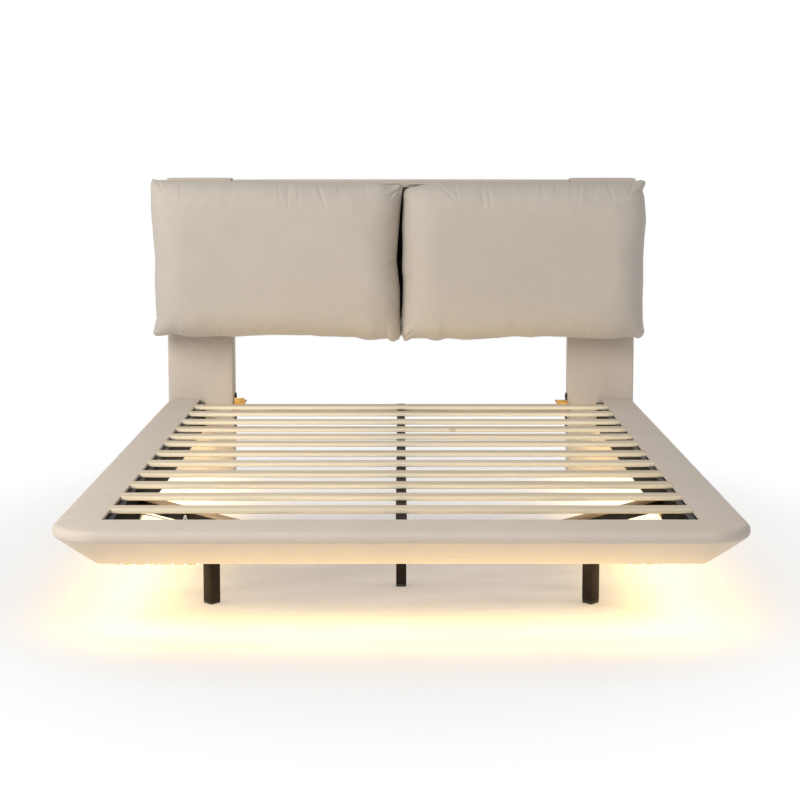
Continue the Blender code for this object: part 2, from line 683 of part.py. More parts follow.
def brace_place(along, out, height):
    """A place by the left brace: along it from the side board, out from its foot face."""
    root = math.sqrt(2)
    face_x = SEAM_GAP - BOARD_INNER - BRACE_WIDTH / 2 / root
    face_y = FOOT_BOARD_INNER + SEAM_GAP + BRACE_REACH - BRACE_WIDTH / 2 / root
    return Vector((face_x + (along - out) / root, face_y - (along + out) / root, height))


def make_controller(looks):
    """The strip light's controller, hung under the left brace, with its power gland."""
    top = BRACE_BOTTOM - SEAM_GAP
    middle = top - CONTROLLER_HEIGHT / 2
    turn = Matrix.Rotation(math.radians(-45), 4, "Z")
    half = Vector((CONTROLLER_LENGTH, CONTROLLER_WIDTH, CONTROLLER_HEIGHT)) / 2
    case = box("light_controller", looks["plastic"], -half, half, CONTROLLER_BEVEL)
    case.data.transform(turn)
    case.location = brace_place(CONTROLLER_ALONG, -CONTROLLER_WIDTH / 2, middle)
    bm = bmesh.new()
    bmesh.ops.create_cone(bm, cap_ends=True, segments=ROUND_STEPS, radius1=GLAND_RADIUS,
                          radius2=GLAND_RADIUS, depth=GLAND_LENGTH)
    bmesh.ops.rotate(bm, verts=bm.verts, matrix=Matrix.Rotation(math.radians(90), 3, "Y"))
    bmesh.ops.rotate(bm, verts=bm.verts, matrix=turn.to_3x3())
    gland = add_object("power_gland", finish_mesh("power_gland", bm, SMOOTH_ANGLE),
                       looks["plastic"])
    reach = CONTROLLER_LENGTH / 2 + SEAM_GAP + GLAND_LENGTH / 2
    gland.location = brace_place(CONTROLLER_ALONG + reach, -CONTROLLER_WIDTH / 2, middle)


def lead_route():
    """The lead's way: out of the controller, up in an arch, along the brace, to the strip."""
    strip_side = -HALF_DECK + BOARD_THICKNESS / 2 + STRIP_WIDTH / 2 + SEAM_GAP
    return [
        brace_place(0.244, 0.0004, 0.204),
        brace_place(0.244, 0.0035, 0.204),
        brace_place(0.244, 0.0060, 0.208),
        brace_place(0.243, 0.0050, 0.222),
        brace_place(0.2395, 0.0040, 0.2345),
        brace_place(0.236, 0.0030, 0.2375),
        brace_place(0.2325, 0.0040, 0.2345),
        brace_place(0.229, 0.0050, 0.222),
        brace_place(0.224, 0.0040, 0.212),
        brace_place(0.200, 0.0035, 0.209),
        brace_place(0.160, 0.0035, 0.211),
        brace_place(0.110, 0.0035, 0.211),
        brace_place(0.060, 0.0035, 0.210),
        brace_place(0.032, 0.0045, 0.208),
        brace_place(0.0293, 0.0101, 0.2045),
        brace_place(0.0299, 0.0124, 0.195),
        brace_place(0.0294, 0.0136, 0.1881),
        Vector((strip_side, -0.5430, 0.1872)),
    ]


def smooth_route(points, steps):
    """Places along one smooth curve through all the points of a route."""
    padded = [2 * points[0] - points[1]] + points + [2 * points[-1] - points[-2]]
    places = []
    for index in range(len(points) - 1):
        first, second, third, fourth = padded[index:index + 4]
        for step in range(steps):
            t = step / steps
            places.append(0.5 * (2 * second + (third - first) * t
                                 + (2 * first - 5 * second + 4 * third - fourth) * t ** 2
                                 + (3 * second - first - 3 * third + fourth) * t ** 3))
    places.append(points[-1])
    return places


def make_lead(looks):
    """The white lead from the controller to the left strip, held along its whole way."""
    places = smooth_route(lead_route(), LEAD_SPAN_STEPS)
    curve = bpy.data.curves.new("light_lead", "CURVE")
    curve.dimensions = "3D"
    curve.bevel_depth = LEAD_DIAMETER / 2
    curve.bevel_resolution = 2
    curve.use_fill_caps = True
    curve.materials.append(looks["lead"])
    spline = curve.splines.new("POLY")
    spline.points.add(len(places) - 1)
    for point, place in zip(spline.points, places):
        point.co = (*place, 1.0)
    lead = bpy.data.objects.new("light_lead", curve)
    bpy.context.scene.collection.objects.link(lead)


def make_all():
    clear_scene()
    looks = make_materials()
    make_rails(looks)
    make_boards(looks)
    make_slats(looks)
    make_beam(looks)
    make_head_rail(looks)
    for side, sign in SIDES:
        make_brace(looks, side, sign)
        make_brace_brackets(looks, side, sign)
        make_front_foot(looks, side, sign)
        make_post(looks, side, sign)
        make_post_fittings(looks, side, sign)
        make_cushion_tape(looks, side, sign)
        make_cushion(looks, side, sign)
    make_crossbar(looks)
    make_light(looks)
    make_controller(looks)
    make_lead(looks)


make_all()
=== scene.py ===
"""Dresses the platform bed: velvet, pine, steel, light strips, cushions and the studio."""

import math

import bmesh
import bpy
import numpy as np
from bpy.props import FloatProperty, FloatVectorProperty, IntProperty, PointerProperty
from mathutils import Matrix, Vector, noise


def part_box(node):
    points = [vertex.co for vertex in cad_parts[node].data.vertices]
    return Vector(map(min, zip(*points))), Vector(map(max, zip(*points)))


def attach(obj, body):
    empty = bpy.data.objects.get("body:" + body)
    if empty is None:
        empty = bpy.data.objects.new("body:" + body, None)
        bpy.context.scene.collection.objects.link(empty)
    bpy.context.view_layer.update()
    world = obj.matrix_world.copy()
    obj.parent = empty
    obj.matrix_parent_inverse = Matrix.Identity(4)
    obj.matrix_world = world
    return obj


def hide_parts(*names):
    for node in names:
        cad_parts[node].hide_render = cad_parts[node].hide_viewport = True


bl_info = {
    "name": "Floating platform bed",
    "version": (1, 0, 0),
    "blender": (4, 5, 0),
    "location": "3D View > Sidebar > Bed",
    "description": "Builds the finish of an upholstered platform bed over its packed frame",
    "category": "Object",
}

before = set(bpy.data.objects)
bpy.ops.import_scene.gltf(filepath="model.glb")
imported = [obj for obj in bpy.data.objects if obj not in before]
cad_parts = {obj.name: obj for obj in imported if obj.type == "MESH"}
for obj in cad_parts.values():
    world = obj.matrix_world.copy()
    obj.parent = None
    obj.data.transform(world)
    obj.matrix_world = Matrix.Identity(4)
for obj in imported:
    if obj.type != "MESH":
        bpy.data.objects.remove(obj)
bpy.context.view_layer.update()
SIDES = (("left", -1), ("right", 1))
FRAME_BODY = "bed_frame"
WELD = 1e-5


# Settings

class BedCameraSettings(bpy.types.PropertyGroup):
    lens: FloatProperty(name="Lens", description="Focal length", default=71.76, unit="CAMERA")
    place: FloatVectorProperty(name="Place", description="Where the camera stands",
                               default=(-0.0035, -5.1528, 1.2625), subtype="TRANSLATION")
    tilt: FloatProperty(name="Tilt", description="Angle below the horizon",
                        default=math.radians(5.352), subtype="ANGLE")
    shift: FloatProperty(name="Shift", description="Lens shift that keeps the posts upright",
                         default=-0.12)


class BedStudioSettings(bpy.types.PropertyGroup):
    sky: FloatProperty(name="Sky", description="Strength of the even white light",
                       default=0.52, min=0)
    backdrop: FloatProperty(name="Backdrop", description="Brightness of the backdrop",
                            default=1.0, min=0)
    key: FloatProperty(name="Key", description="Power of the soft light at the left",
                       default=278.0, unit="POWER")
    glow: FloatProperty(name="Glow", description="Power of the light strips for each metre",
                        default=1.28, unit="POWER")
    bounce: FloatProperty(name="Bounce", description="Power of the light thrown up by the floor",
                          default=1.5, unit="POWER")
    glow_spread: FloatProperty(name="Glow spread", description="Opening of the strips' beam",
                               default=math.radians(146), subtype="ANGLE")
    glow_colour: FloatVectorProperty(name="Glow colour", description="Colour of the strips",
                                     default=(1.0, 0.70, 0.22), subtype="COLOR")
    # Strength of the floor's glow, which also carries its painted shadow under the bed
    floor_fill: FloatProperty(name="Floor fill", description="White added to the floor",
                              default=0.45, min=0)
    floor_colour: FloatVectorProperty(name="Floor", description="Colour of the floor",
                                      default=(0.85, 0.85, 0.85), subtype="COLOR")


class BedVelvetSettings(bpy.types.PropertyGroup):
    colour: FloatVectorProperty(name="Velvet", description="Colour of the pile",
                                default=(0.545, 0.485, 0.425), subtype="COLOR")
    pile: FloatProperty(name="Pile", description="Depth of the pile's unevenness",
                        default=0.0004, unit="LENGTH")


class BedRailSettings(bpy.types.PropertyGroup):
    nose_height: FloatProperty(name="Nose height", description="Height of the upright nose",
                               default=0.033, unit="LENGTH")
    under_flat: FloatProperty(name="Under flat", description="Flat strip under the boards",
                              default=0.014, unit="LENGTH")
    top_radius: FloatProperty(name="Top radius", description="Rounding of the nose's top",
                              default=0.018, unit="LENGTH")
    low_radius: FloatProperty(name="Low radius", description="Rounding under the nose",
                              default=0.012, unit="LENGTH")
    seam_radius: FloatProperty(name="Seam radius", description="Rounding into the end seams",
                               default=0.006, unit="LENGTH")
    puff: FloatProperty(name="Puff", description="How far the padding swells between edges",
                        default=0.0045, unit="LENGTH")


class BedSlatSettings(bpy.types.PropertyGroup):
    edge: FloatProperty(name="Edge", description="Rounding along the slats",
                        default=0.0035, unit="LENGTH")
    corner: FloatProperty(name="Corner", description="Rounding of the slats' corners",
                          default=0.004, unit="LENGTH")
    overlap: FloatProperty(name="Overlap", description="How far the slats press into the padding",
                           default=0.005, unit="LENGTH")


class BedCushionSettings(bpy.types.PropertyGroup):
    cell: FloatProperty(name="Cell", description="Size of the cloth's cells",
                        default=0.0094, unit="LENGTH")
    ease: FloatProperty(name="Ease", description="Spare cloth along the seams",
                        default=0.080, subtype="FACTOR")
    seam_zone: FloatProperty(name="Seam zone", description="How far in the spare cloth goes",
                             default=0.090, unit="LENGTH")
    bend: FloatProperty(name="Bend", description="Stiffness of the cloth against bending",
                        default=0.3)
    pressure: FloatProperty(name="Pressure", description="Push of the filling", default=6.0)
    frames: IntProperty(name="Frames", description="Steps of the simulation", default=24)


# Finishes

class Wire:
    """A socket in a finish, with arithmetic that adds Math nodes."""

    def __init__(self, finish, socket):
        self.finish = finish
        self.socket = socket

    def _math(self, operation, other):
        return self.finish.add("ShaderNodeMath", {"operation": operation}, {0: self, 1: other})

    def __add__(self, other):
        return self._math("ADD", other)

    __radd__ = __add__

    def __sub__(self, other):
        return self._math("SUBTRACT", other)

    def __mul__(self, other):
        return self._math("MULTIPLY", other)


class Finish:
    """One procedural material on a Principled shader."""

    def __init__(self, name, **constants):
        self.material = bpy.data.materials.new(name)
        self.material.use_nodes = True
        self.tree = self.material.node_tree
        self.shader = self.tree.nodes["Principled BSDF"]
        for key, value in constants.items():
            self.shader.inputs[key.replace("_", " ")].default_value = value

    def add(self, kind, settings, sockets, output=0):
        """A node of any kind: its settings first, then its sockets' values or links."""
        node = self.tree.nodes.new(kind)
        for key, value in settings.items():
            setattr(node, key, value)
        for key, value in sockets.items():
            if isinstance(value, Wire):
                self.tree.links.new(value.socket, node.inputs[key])
            else:
                node.inputs[key].default_value = value
        return Wire(self, node.outputs[output])

    def feed(self, name, wire):
        self.tree.links.new(wire.socket, self.shader.inputs[name])

    def coords(self, scale=(1, 1, 1)):
        place = self.add("ShaderNodeTexCoord", {}, {}, "Object")
        return self.stretched(place, scale)

    def stretched(self, place, scale):
        return self.add("ShaderNodeMapping", {}, {"Vector": place, "Scale": scale})

    def value(self, attribute):
        return self.add("ShaderNodeAttribute", {"attribute_name": attribute}, {}, "Fac")

    def vector(self, operation, *values, output=0):
        """A Vector Math node over its inputs in order."""
        return self.add("ShaderNodeVectorMath", {"operation": operation},
                        dict(enumerate(values)), output)

    def noise(self, vector, scale, detail=2.0, rough=0.5, distortion=0.0):
        return self.add("ShaderNodeTexNoise", {},
                        {"Vector": vector, "Scale": scale, "Detail": detail,
                         "Roughness": rough, "Distortion": distortion})

    def ramp(self, factor, *stops):
        """A colour ramp over (place, colour) stops."""
        made = self.add("ShaderNodeValToRGB", {}, {"Fac": factor})
        elements = made.socket.node.color_ramp.elements
        while len(elements) < len(stops):
            elements.new(1.0)
        for element, (place, colour) in zip(elements, stops):
            element.position = place
            element.color = (*colour, 1.0)
        return made

    def blend(self, factor, first, second, mode="MIX"):
        """A colour between two colours."""
        colours = [value if isinstance(value, Wire) else (*value, 1.0)
                   for value in (first, second)]
        return self.add("ShaderNodeMix", {"data_type": "RGBA", "blend_type": mode},
                        {0: factor, 6: colours[0], 7: colours[1]}, 2)

    def surface(self, colour, roughness=None, bump=None):
        """Feed a colour, a roughness and a bump of (height, distance, strength)."""
        self.feed("Base Color", colour)
        if roughness:
            self.feed("Roughness", roughness)
        if bump:
            height, distance, strength = bump
            self.feed("Normal", self.add("ShaderNodeBump", {}, {
                "Height": height, "Distance": distance, "Strength": strength}))
        return self.material


def scaled(colour, factor):
    return tuple(min(1.0, channel * factor) for channel in colour)


FINISHES = {}


def velvet_finish(name, painted_shade_tint, settings):
    """Short cream pile: soft brushed patches, fine fibre grain and a light sheen."""
    # The velvet's own colour times a painted shade tint that is set for each copy
    colour = tuple(a * b for a, b in zip(settings.colour, painted_shade_tint))
    made = Finish(name, Sheen_Weight=0.22, Sheen_Roughness=0.35, Specular_IOR_Level=0.15,
                  Sheen_Tint=(1.0, 0.96, 0.90, 1.0))
    place = made.coords()
    brushed = made.noise(place, 5.0, 3.0, 0.55, 0.6)
    nap = made.noise(place, 38.0, 3.0, 0.6)
    fibre = made.noise(place, 1100.0, 2.0, 0.7)
    tone = made.ramp(brushed * 0.5 + nap * 0.32 + fibre * 0.18,
                     (0.34, scaled(colour, 0.96)), (0.66, scaled(colour, 1.035)))
    return made.surface(tone, 0.80 + brushed * 0.18,
                        (fibre * 0.55 + nap * 0.45, settings.pile, 0.55))


def pine_finish():
    """Pale planed pine: long grain, growth bands, a few small knots and painted highlights on the
    edges.
    """
    made = Finish("pale_pine", Specular_IOR_Level=0.12)
    tone = made.value("slat_tone")
    offset = made.add("ShaderNodeCombineXYZ", {}, {"X": tone * 7.0, "Y": tone * 3.0})
    moved = made.vector("ADD", made.coords(), offset)
    bands = made.noise(made.stretched(moved, (1.6, 46.0, 46.0)), 1.0, 4.0, 0.6, 0.8)
    grain = made.noise(made.stretched(moved, (6.0, 420.0, 420.0)), 1.0, 3.0, 0.65)
    knots = made.add("ShaderNodeTexVoronoi", {"distance": "EUCLIDEAN"},
                     {"Vector": made.stretched(moved, (3.1, 17.0, 0.6)), "Scale": 1.0}, "Distance")
    knot_mask = made.ramp(knots, (0.0, (1, 1, 1)), (0.055, (0, 0, 0)))
    wood = made.ramp(bands * 0.7 + grain * 0.3 + (tone - 0.5) * 0.16,
                     (0.30, (0.485, 0.378, 0.254)), (0.46, (0.582, 0.480, 0.354)),
                     (0.66, (0.66, 0.567, 0.441)))
    # Painted highlight: the slats' sides and rounded edges are painted paler and yellower
    wood = made.blend(made.value("slat_edge_highlight"), wood, (0.80, 0.72, 0.56))
    return made.surface(made.blend(knot_mask, wood, (0.30, 0.17, 0.085)), 0.48 + grain * 0.2,
                        (grain * 0.6 + bands * 0.4, 0.0003, 0.6))


def coated_finish(name, colour, roughness, metallic, wear, shine):
    """Powder-coated steel or dark board: fine orange-peel texture and rubbed patches."""
    made = Finish(name, Metallic=metallic, Specular_IOR_Level=shine)
    place = made.coords()
    cloud = made.noise(place, 9.0, 4.0, 0.6)
    rubbed = tuple(channel * 1.25 + wear * 0.1 for channel in colour)
    return made.surface(made.ramp(cloud, (0.35, scaled(colour, 0.8)), (0.70, rubbed)),
                        roughness - 0.07 + cloud * 0.14,
                        (made.noise(place, 700.0), 0.00015, 0.5))


def zinc_finish():
    """Yellow-passivated zinc: gold with faint cloudy colour and drawn scratches."""
    made = Finish("yellow_zinc", Metallic=0.9)
    cloud = made.noise(made.coords(), 60.0, 4.0, 0.65, 1.0)
    drawn = made.noise(made.coords((40.0, 900.0, 900.0)), 1.0)
    tone = made.ramp(cloud, (0.32, (0.62, 0.30, 0.07)), (0.50, (0.78, 0.46, 0.13)),
                     (0.70, (0.80, 0.56, 0.22)))
    return made.surface(tone, 0.28 + drawn * 0.18, (drawn, 0.00008, 0.4))


def cloth_finish(name, colour, thread=0.0011):
    """Plain woven tape or lining with crossing threads."""
    made = Finish(name, Roughness=0.95, Sheen_Weight=0.15)
    across, along = (
        made.add("ShaderNodeTexWave", {"bands_direction": direction},
                 {"Vector": made.coords(), "Scale": 0.5 / thread, "Distortion": 0.4})
        for direction in ("X", "DIAGONAL"))
    weave = across * 0.5 + along * 0.5
    tone = made.ramp(weave, (0.2, scaled(colour, 0.7)), (0.8, scaled(colour, 1.3)))
    return made.surface(tone, bump=(weave, 0.0003, 0.6))


def plastic_finish(name, colour, roughness):
    """Moulded plastic with a very fine grain."""
    made = Finish(name, Specular_IOR_Level=0.5)
    place = made.coords()
    cloud = made.noise(place, 25.0, 3.0)
    tone = made.ramp(cloud, (0.3, scaled(colour, 0.93)), (0.7, scaled(colour, 1.07)))
    return made.surface(tone, roughness + (cloud - 0.5) * 0.12,
                        (made.noise(place, 1500.0), 0.00006, 0.4))


def lit_finish(name, colour, strength):
    """A lit light chip, a little uneven."""
    made = Finish(name, Roughness=0.4, Emission_Strength=strength)
    ripple = made.noise(made.coords(), 160.0, 1.0)
    made.feed("Emission Color", made.ramp(ripple, (0.3, scaled(colour, 0.9)), (0.7, colour)))
    return made.surface(made.ramp(ripple, (0.3, (0.9, 0.75, 0.45)), (0.7, (1, 0.9, 0.6))))


def timber_finish():
    """Rough-sawn timber of the hidden cores."""
    made = Finish("frame_timber", Roughness=0.7)
    grain = made.noise(made.coords((3.0, 3.0, 30.0)), 6.0, 4.0, 0.6, 0.7)
    tone = made.ramp(grain, (0.3, (0.36, 0.24, 0.13)), (0.7, (0.55, 0.41, 0.26)))
    return made.surface(tone, bump=(grain, 0.0004, 0.5))


def make_finishes(velvet, glow):
    FINISHES.update({
        # One fabric in two copies, each darkened by painted shade: the rails' a little and warmer,
        # the cushions' more
        "velvet": velvet_finish("cream_velvet", (0.985, 0.968, 0.95), velvet),
        "cushion": velvet_finish("shaded_cushion_velvet", (0.85, 0.86, 0.87), velvet),
        "timber": timber_finish(),
        "board": coated_finish("black_board", (0.007, 0.0055, 0.0045), 0.75, 0.0, 0.01, 0.12),
        "pine": pine_finish(),
        "steel": coated_finish("black_steel", (0.019, 0.0125, 0.0070), 0.55, 0.20, 0.03, 0.20),
        "foot": coated_finish("brown_black_steel", (0.022, 0.012, 0.0045), 0.50, 0.35, 0.05, 0.30),
        "zinc": zinc_finish(),
        "plastic": plastic_finish("black_plastic", (0.022, 0.022, 0.022), 0.5),
        "tape": cloth_finish("grey_tape", (0.034, 0.033, 0.031)),
        "tan": coated_finish("tan_steel", (0.42, 0.33, 0.22), 0.60, 0.0, 0.02, 0.20),
        "edge": coated_finish("brown_board_edge", (0.36, 0.25, 0.145), 0.62, 0.0, 0.02, 0.30),
        "lining": cloth_finish("black_lining", (0.010, 0.009, 0.009)),
        "strip": plastic_finish("strip_base", (0.75, 0.66, 0.45), 0.4),
        "chip": lit_finish("lit_chip", glow, 60.0),
        "lead": plastic_finish("white_lead", (0.78, 0.76, 0.72), 0.4),
    })


# Mesh helpers

def linked(name, data):
    """A new object in the scene."""
    made = bpy.data.objects.new(name, data)
    bpy.context.scene.collection.objects.link(made)
    return made


def applied(holder):
    """The plain mesh that an object's modifiers give; the object goes."""
    depsgraph = bpy.context.evaluated_depsgraph_get()
    made = bpy.data.meshes.new_from_object(holder.evaluated_get(depsgraph))
    bpy.data.objects.remove(holder)
    return made


def add_piece(name, mesh, finish, body=FRAME_BODY, nodes=()):
    """Link a mesh as a piece of the bed, riding a body and standing for CAD nodes."""
    piece = linked(name, mesh)
    if not mesh.materials:
        mesh.materials.append(FINISHES[finish])
    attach(piece, body)
    if nodes:
        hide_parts(*nodes)
    return piece


def shaded(mesh, angle):
    """Shade a mesh smooth, with edges sharper than an angle in degrees kept."""
    mesh.shade_smooth()
    mesh.set_sharp_from_angle(angle=math.radians(angle))
    return mesh


def plain_mesh(bm, name):
    mesh = bpy.data.meshes.new(name)
    bm.to_mesh(mesh)
    bm.free()
    return mesh


def mesh_from(bm, name, angle=35.0):
    """Weld, turn the faces outward, shade smooth with sharp edges kept."""
    bmesh.ops.remove_doubles(bm, verts=bm.verts, dist=WELD)
    bmesh.ops.recalc_face_normals(bm, faces=bm.faces)
    return shaded(plain_mesh(bm, name), angle)


def arc(centre, radius, start, end, steps):
    """Points on an arc, both ends included, angles in degrees."""
    turns = [math.radians(start + (end - start) * step / steps) for step in range(steps + 1)]
    return [(centre[0] + radius * math.cos(t), centre[1] + radius * math.sin(t)) for t in turns]


def loft(bm, rings):
    """Faces between rings of points, and one at each end."""
    made = [[bm.verts.new(point) for point in ring] for ring in rings]
    for first, second in zip(made, made[1:]):
        for index in range(len(first)):
            follow = (index + 1) % len(first)
            bm.faces.new((first[index], first[follow], second[follow], second[index]))
    bm.faces.new(made[0])
    bm.faces.new(list(reversed(made[-1])))


def node_mesh(node, weld):
    """A CAD node's mesh, merged, to work on."""
    bm = bmesh.new()
    bm.from_mesh(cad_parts[node].data)
    bmesh.ops.remove_doubles(bm, verts=bm.verts, dist=weld)
    return bm


def softened(node, bevel, steps=2):
    """A copy of a CAD node's mesh with its sharp edges rounded."""
    bm = node_mesh(node, 2 * WELD)
    bmesh.ops.dissolve_limit(bm, angle_limit=math.radians(1.0), verts=bm.verts, edges=bm.edges)
    sharp = [edge for edge in bm.edges
             if len(edge.link_faces) == 2 and edge.calc_face_angle(0) > math.radians(30)]
    bmesh.ops.bevel(bm, geom=sharp, offset=bevel, segments=steps, profile=0.5,
                    affect="EDGES", clamp_overlap=True)
    return mesh_from(bm, node, 40.0)


# Geometry Nodes

def scatter_tree():
    """Puts the shape object on every point of a mesh and gives each copy its own tone."""
    tree = bpy.data.node_groups.new("scatter_on_points", "GeometryNodeTree")
    for label, kind in (("Geometry", "Geometry"), ("Shape", "Object"), ("Finish", "Material"),
                        ("Seed", "Int")):
        tree.interface.new_socket(label, in_out="INPUT", socket_type=f"NodeSocket{kind}")
    tree.interface.new_socket("Geometry", in_out="OUTPUT", socket_type="NodeSocketGeometry")
    start = tree.nodes.new("NodeGroupInput")

    def node(kind, links, **settings):
        """A node whose inputs are fed by (other node, output) pairs."""
        made = tree.nodes.new(kind)
        for key, value in settings.items():
            setattr(made, key, value)
        for target, (source, output) in links.items():
            tree.links.new(source.outputs[output], made.inputs[target])
        return made

    shape = node("GeometryNodeObjectInfo", {"Object": (start, "Shape")})
    placed = node("GeometryNodeInstanceOnPoints", {
        "Points": (start, "Geometry"), "Instance": (shape, "Geometry")})
    tone = node("FunctionNodeRandomValue", {"Seed": (start, "Seed")}, data_type="FLOAT")
    kept = node("GeometryNodeStoreNamedAttribute", {
        "Geometry": (placed, "Instances"), "Value": (tone, 1)},
        data_type="FLOAT", domain="INSTANCE")
    kept.inputs["Name"].default_value = "slat_tone"
    real = node("GeometryNodeRealizeInstances", {"Geometry": (kept, "Geometry")})
    finish = node("GeometryNodeSetMaterial", {
        "Geometry": (real, "Geometry"), "Material": (start, "Finish")})
    node("NodeGroupOutput", {"Geometry": (finish, "Geometry")})
    return tree


def scatter(name, places, shape_mesh, finish, nodes=(), seed=1):
    """One plain mesh of a shape repeated at places."""
    tree = bpy.data.node_groups.get("scatter_on_points") or scatter_tree()
    points = bpy.data.meshes.new(f"{name}_points")
    points.from_pydata([tuple(place) for place in places], [], [])
    shape = linked(f"{name}_shape", shape_mesh)
    holder = linked(f"{name}_holder", points)
    modifier = holder.modifiers.new("scatter", "NODES")
    modifier.node_group = tree
    values = {"Shape": shape, "Finish": FINISHES[finish], "Seed": seed}
    for item in tree.interface.items_tree:
        if item.in_out == "INPUT" and item.name in values:
            modifier[item.identifier] = values[item.name]
    mesh = applied(holder)
    mesh.name = name
    bpy.data.objects.remove(shape)
    add_piece(name, shaded(mesh, 40), finish, nodes=nodes)


# Padded rails

STATION_SPACING = 0.04
RETURN_SPACING = 0.008
CORNER_STEPS = 24
PROFILE_STEPS = 12
SEAM_STEPS = 5
# Size and reach of the padding's small unevenness outward and upward
OUTWARD_WAVER = (0.09, 0.0007)
UPWARD_WAVER = (0.11, 0.0006)
# Within this distance of the boards the padding wavers less outward
CALM_STRIP = 0.02


def rail_section(settings, breadth, top, bottom, inset):
    """The wedge's outline as (out, height) points, drawn in evenly by an inset."""
    slope = math.atan2(top - bottom - settings.nose_height, breadth - settings.under_flat)
    nose = breadth - inset
    roof = top - inset
    floor = bottom + inset
    flat_end = settings.under_flat - inset * math.tan(slope / 2)
    nose_low = floor + (nose - flat_end) * math.tan(slope)
    upper = settings.top_radius
    lower = settings.low_radius
    turn = 90 - math.degrees(slope)
    reach = lower * math.tan(math.radians(turn / 2))
    points = []
    for step in range(PROFILE_STEPS + 1):
        share = step / PROFILE_STEPS
        drop = settings.puff * (share ** 3 + 0.25 * (1 - share) ** 8)
        points.append((inset + (nose - upper - inset) * share, roof - drop))
    points += [(out, height - settings.puff) for out, height in
               arc((nose - upper, roof - upper), upper, 80, 0, 7)]
    points += arc((nose - lower, nose_low + reach), lower, 0, -turn, 8)
    start = points[-1]
    for step in range(1, PROFILE_STEPS + 1):
        share = step / PROFILE_STEPS
        sag = settings.puff * share * (1 - share)
        out = start[0] + (flat_end - start[0]) * share
        height = start[1] + (floor - start[1]) * share
        points.append((out + sag * math.sin(slope), height - sag))
    points.append((flat_end / 2, floor))
    points.append((inset, floor))
    return points


def wavering(point, size, reach):
    """A small smooth in-and-out of the padding at a place."""
    return reach * noise.noise(Vector(point) / size)


def rail_mesh(name, stations, settings, breadth, top, bottom):
    """A rail's padding lofted along stations of (place, heading, inset)."""
    bm = bmesh.new()
    rings = []
    for place, heading, inset in stations:
        way = Vector((math.cos(heading), math.sin(heading)))
        ring = []
        for out, height in rail_section(settings, breadth, top, bottom, inset):
            here = Vector((place[0] + way.x * out, place[1] + way.y * out, height))
            swell = wavering(here, *OUTWARD_WAVER) * min(1.0, out / CALM_STRIP)
            here.x += way.x * swell
            here.y += way.y * swell
            here.z += wavering(here + Vector((5, 5, 5)), *UPWARD_WAVER)
            here.z = min(here.z, top)
            ring.append(here)
        rings.append(ring)
    loft(bm, rings)
    return mesh_from(bm, name, 50.0)


def end_insets(settings):
    """(distance in from the end, inset) pairs that round a rail into its seam."""
    radius = settings.seam_radius
    pairs = []
    for step in range(SEAM_STEPS + 1):
        turn = math.pi / 2 * step / SEAM_STEPS
        pairs.append((radius * (1 - math.cos(turn)) * 0.9, radius * (1 - math.sin(turn)) * 0.8))
    return pairs


def run(start, end, spacing):
    count = max(2, round(abs(end - start) / spacing))
    return [start + (end - start) * step / count for step in range(count + 1)]


class BED_OT_rails(bpy.types.Operator):
    """Make the padded rails with their corners and seams"""
    bl_idname = "bed.rails"
    bl_label = "Rails"

    def execute(self, context):
        settings = context.scene.bed_rails
        low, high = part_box("left_side_rail_cover")
        edge = -high.x
        insets = end_insets(settings)
        for side, sign in SIDES:
            stations = [(low.y + away, inset) for away, inset in insets]
            inner = run(low.y + insets[-1][0], high.y - insets[-1][0], STATION_SPACING)[1:-1]
            stations += [(along, 0.0) for along in inner]
            stations += [(high.y - away, inset) for away, inset in reversed(insets)]
            heading = 0.0 if sign > 0 else math.pi
            self.rail(f"{side}_side_rail", settings, high.x - low.x,
                      [((sign * edge, along), heading, inset) for along, inset in stations])
        self.foot(settings, high.x - low.x, edge, insets)
        return {"FINISHED"}

    def foot(self, settings, breadth, edge, insets):
        """The foot rail: a short return, a round corner, the long run, and the same again."""
        low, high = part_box("foot_rail_cover")
        corner = low.y + breadth
        side = [(high.y - away, inset) for away, inset in insets]
        side += [(along, 0.0) for along in run(side[-1][0], corner, RETURN_SPACING)[1:]]
        quarter = [math.pi / 2 * step / CORNER_STEPS for step in range(1, CORNER_STEPS + 1)]
        stations = [((-edge, along), math.pi, inset) for along, inset in side]
        stations += [((-edge, corner), math.pi + turn, 0.0) for turn in quarter]
        stations += [((across, corner), 1.5 * math.pi, 0.0)
                     for across in run(-edge, edge, STATION_SPACING)[1:]]
        stations += [((edge, corner), 1.5 * math.pi + turn, 0.0) for turn in quarter]
        stations += [((edge, along), 2 * math.pi, inset) for along, inset in reversed(side[:-1])]
        self.rail("foot_rail", settings, breadth, stations)

    def rail(self, name, settings, breadth, stations):
        low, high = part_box(f"{name}_cover")
        mesh = rail_mesh(name, stations, settings, breadth, high.z, low.z)
        add_piece(name, mesh, "velvet", nodes=(f"{name}_cover",))


# Headboard

PADDING_CELL = 0.03
ROUNDING_STEPS = 4


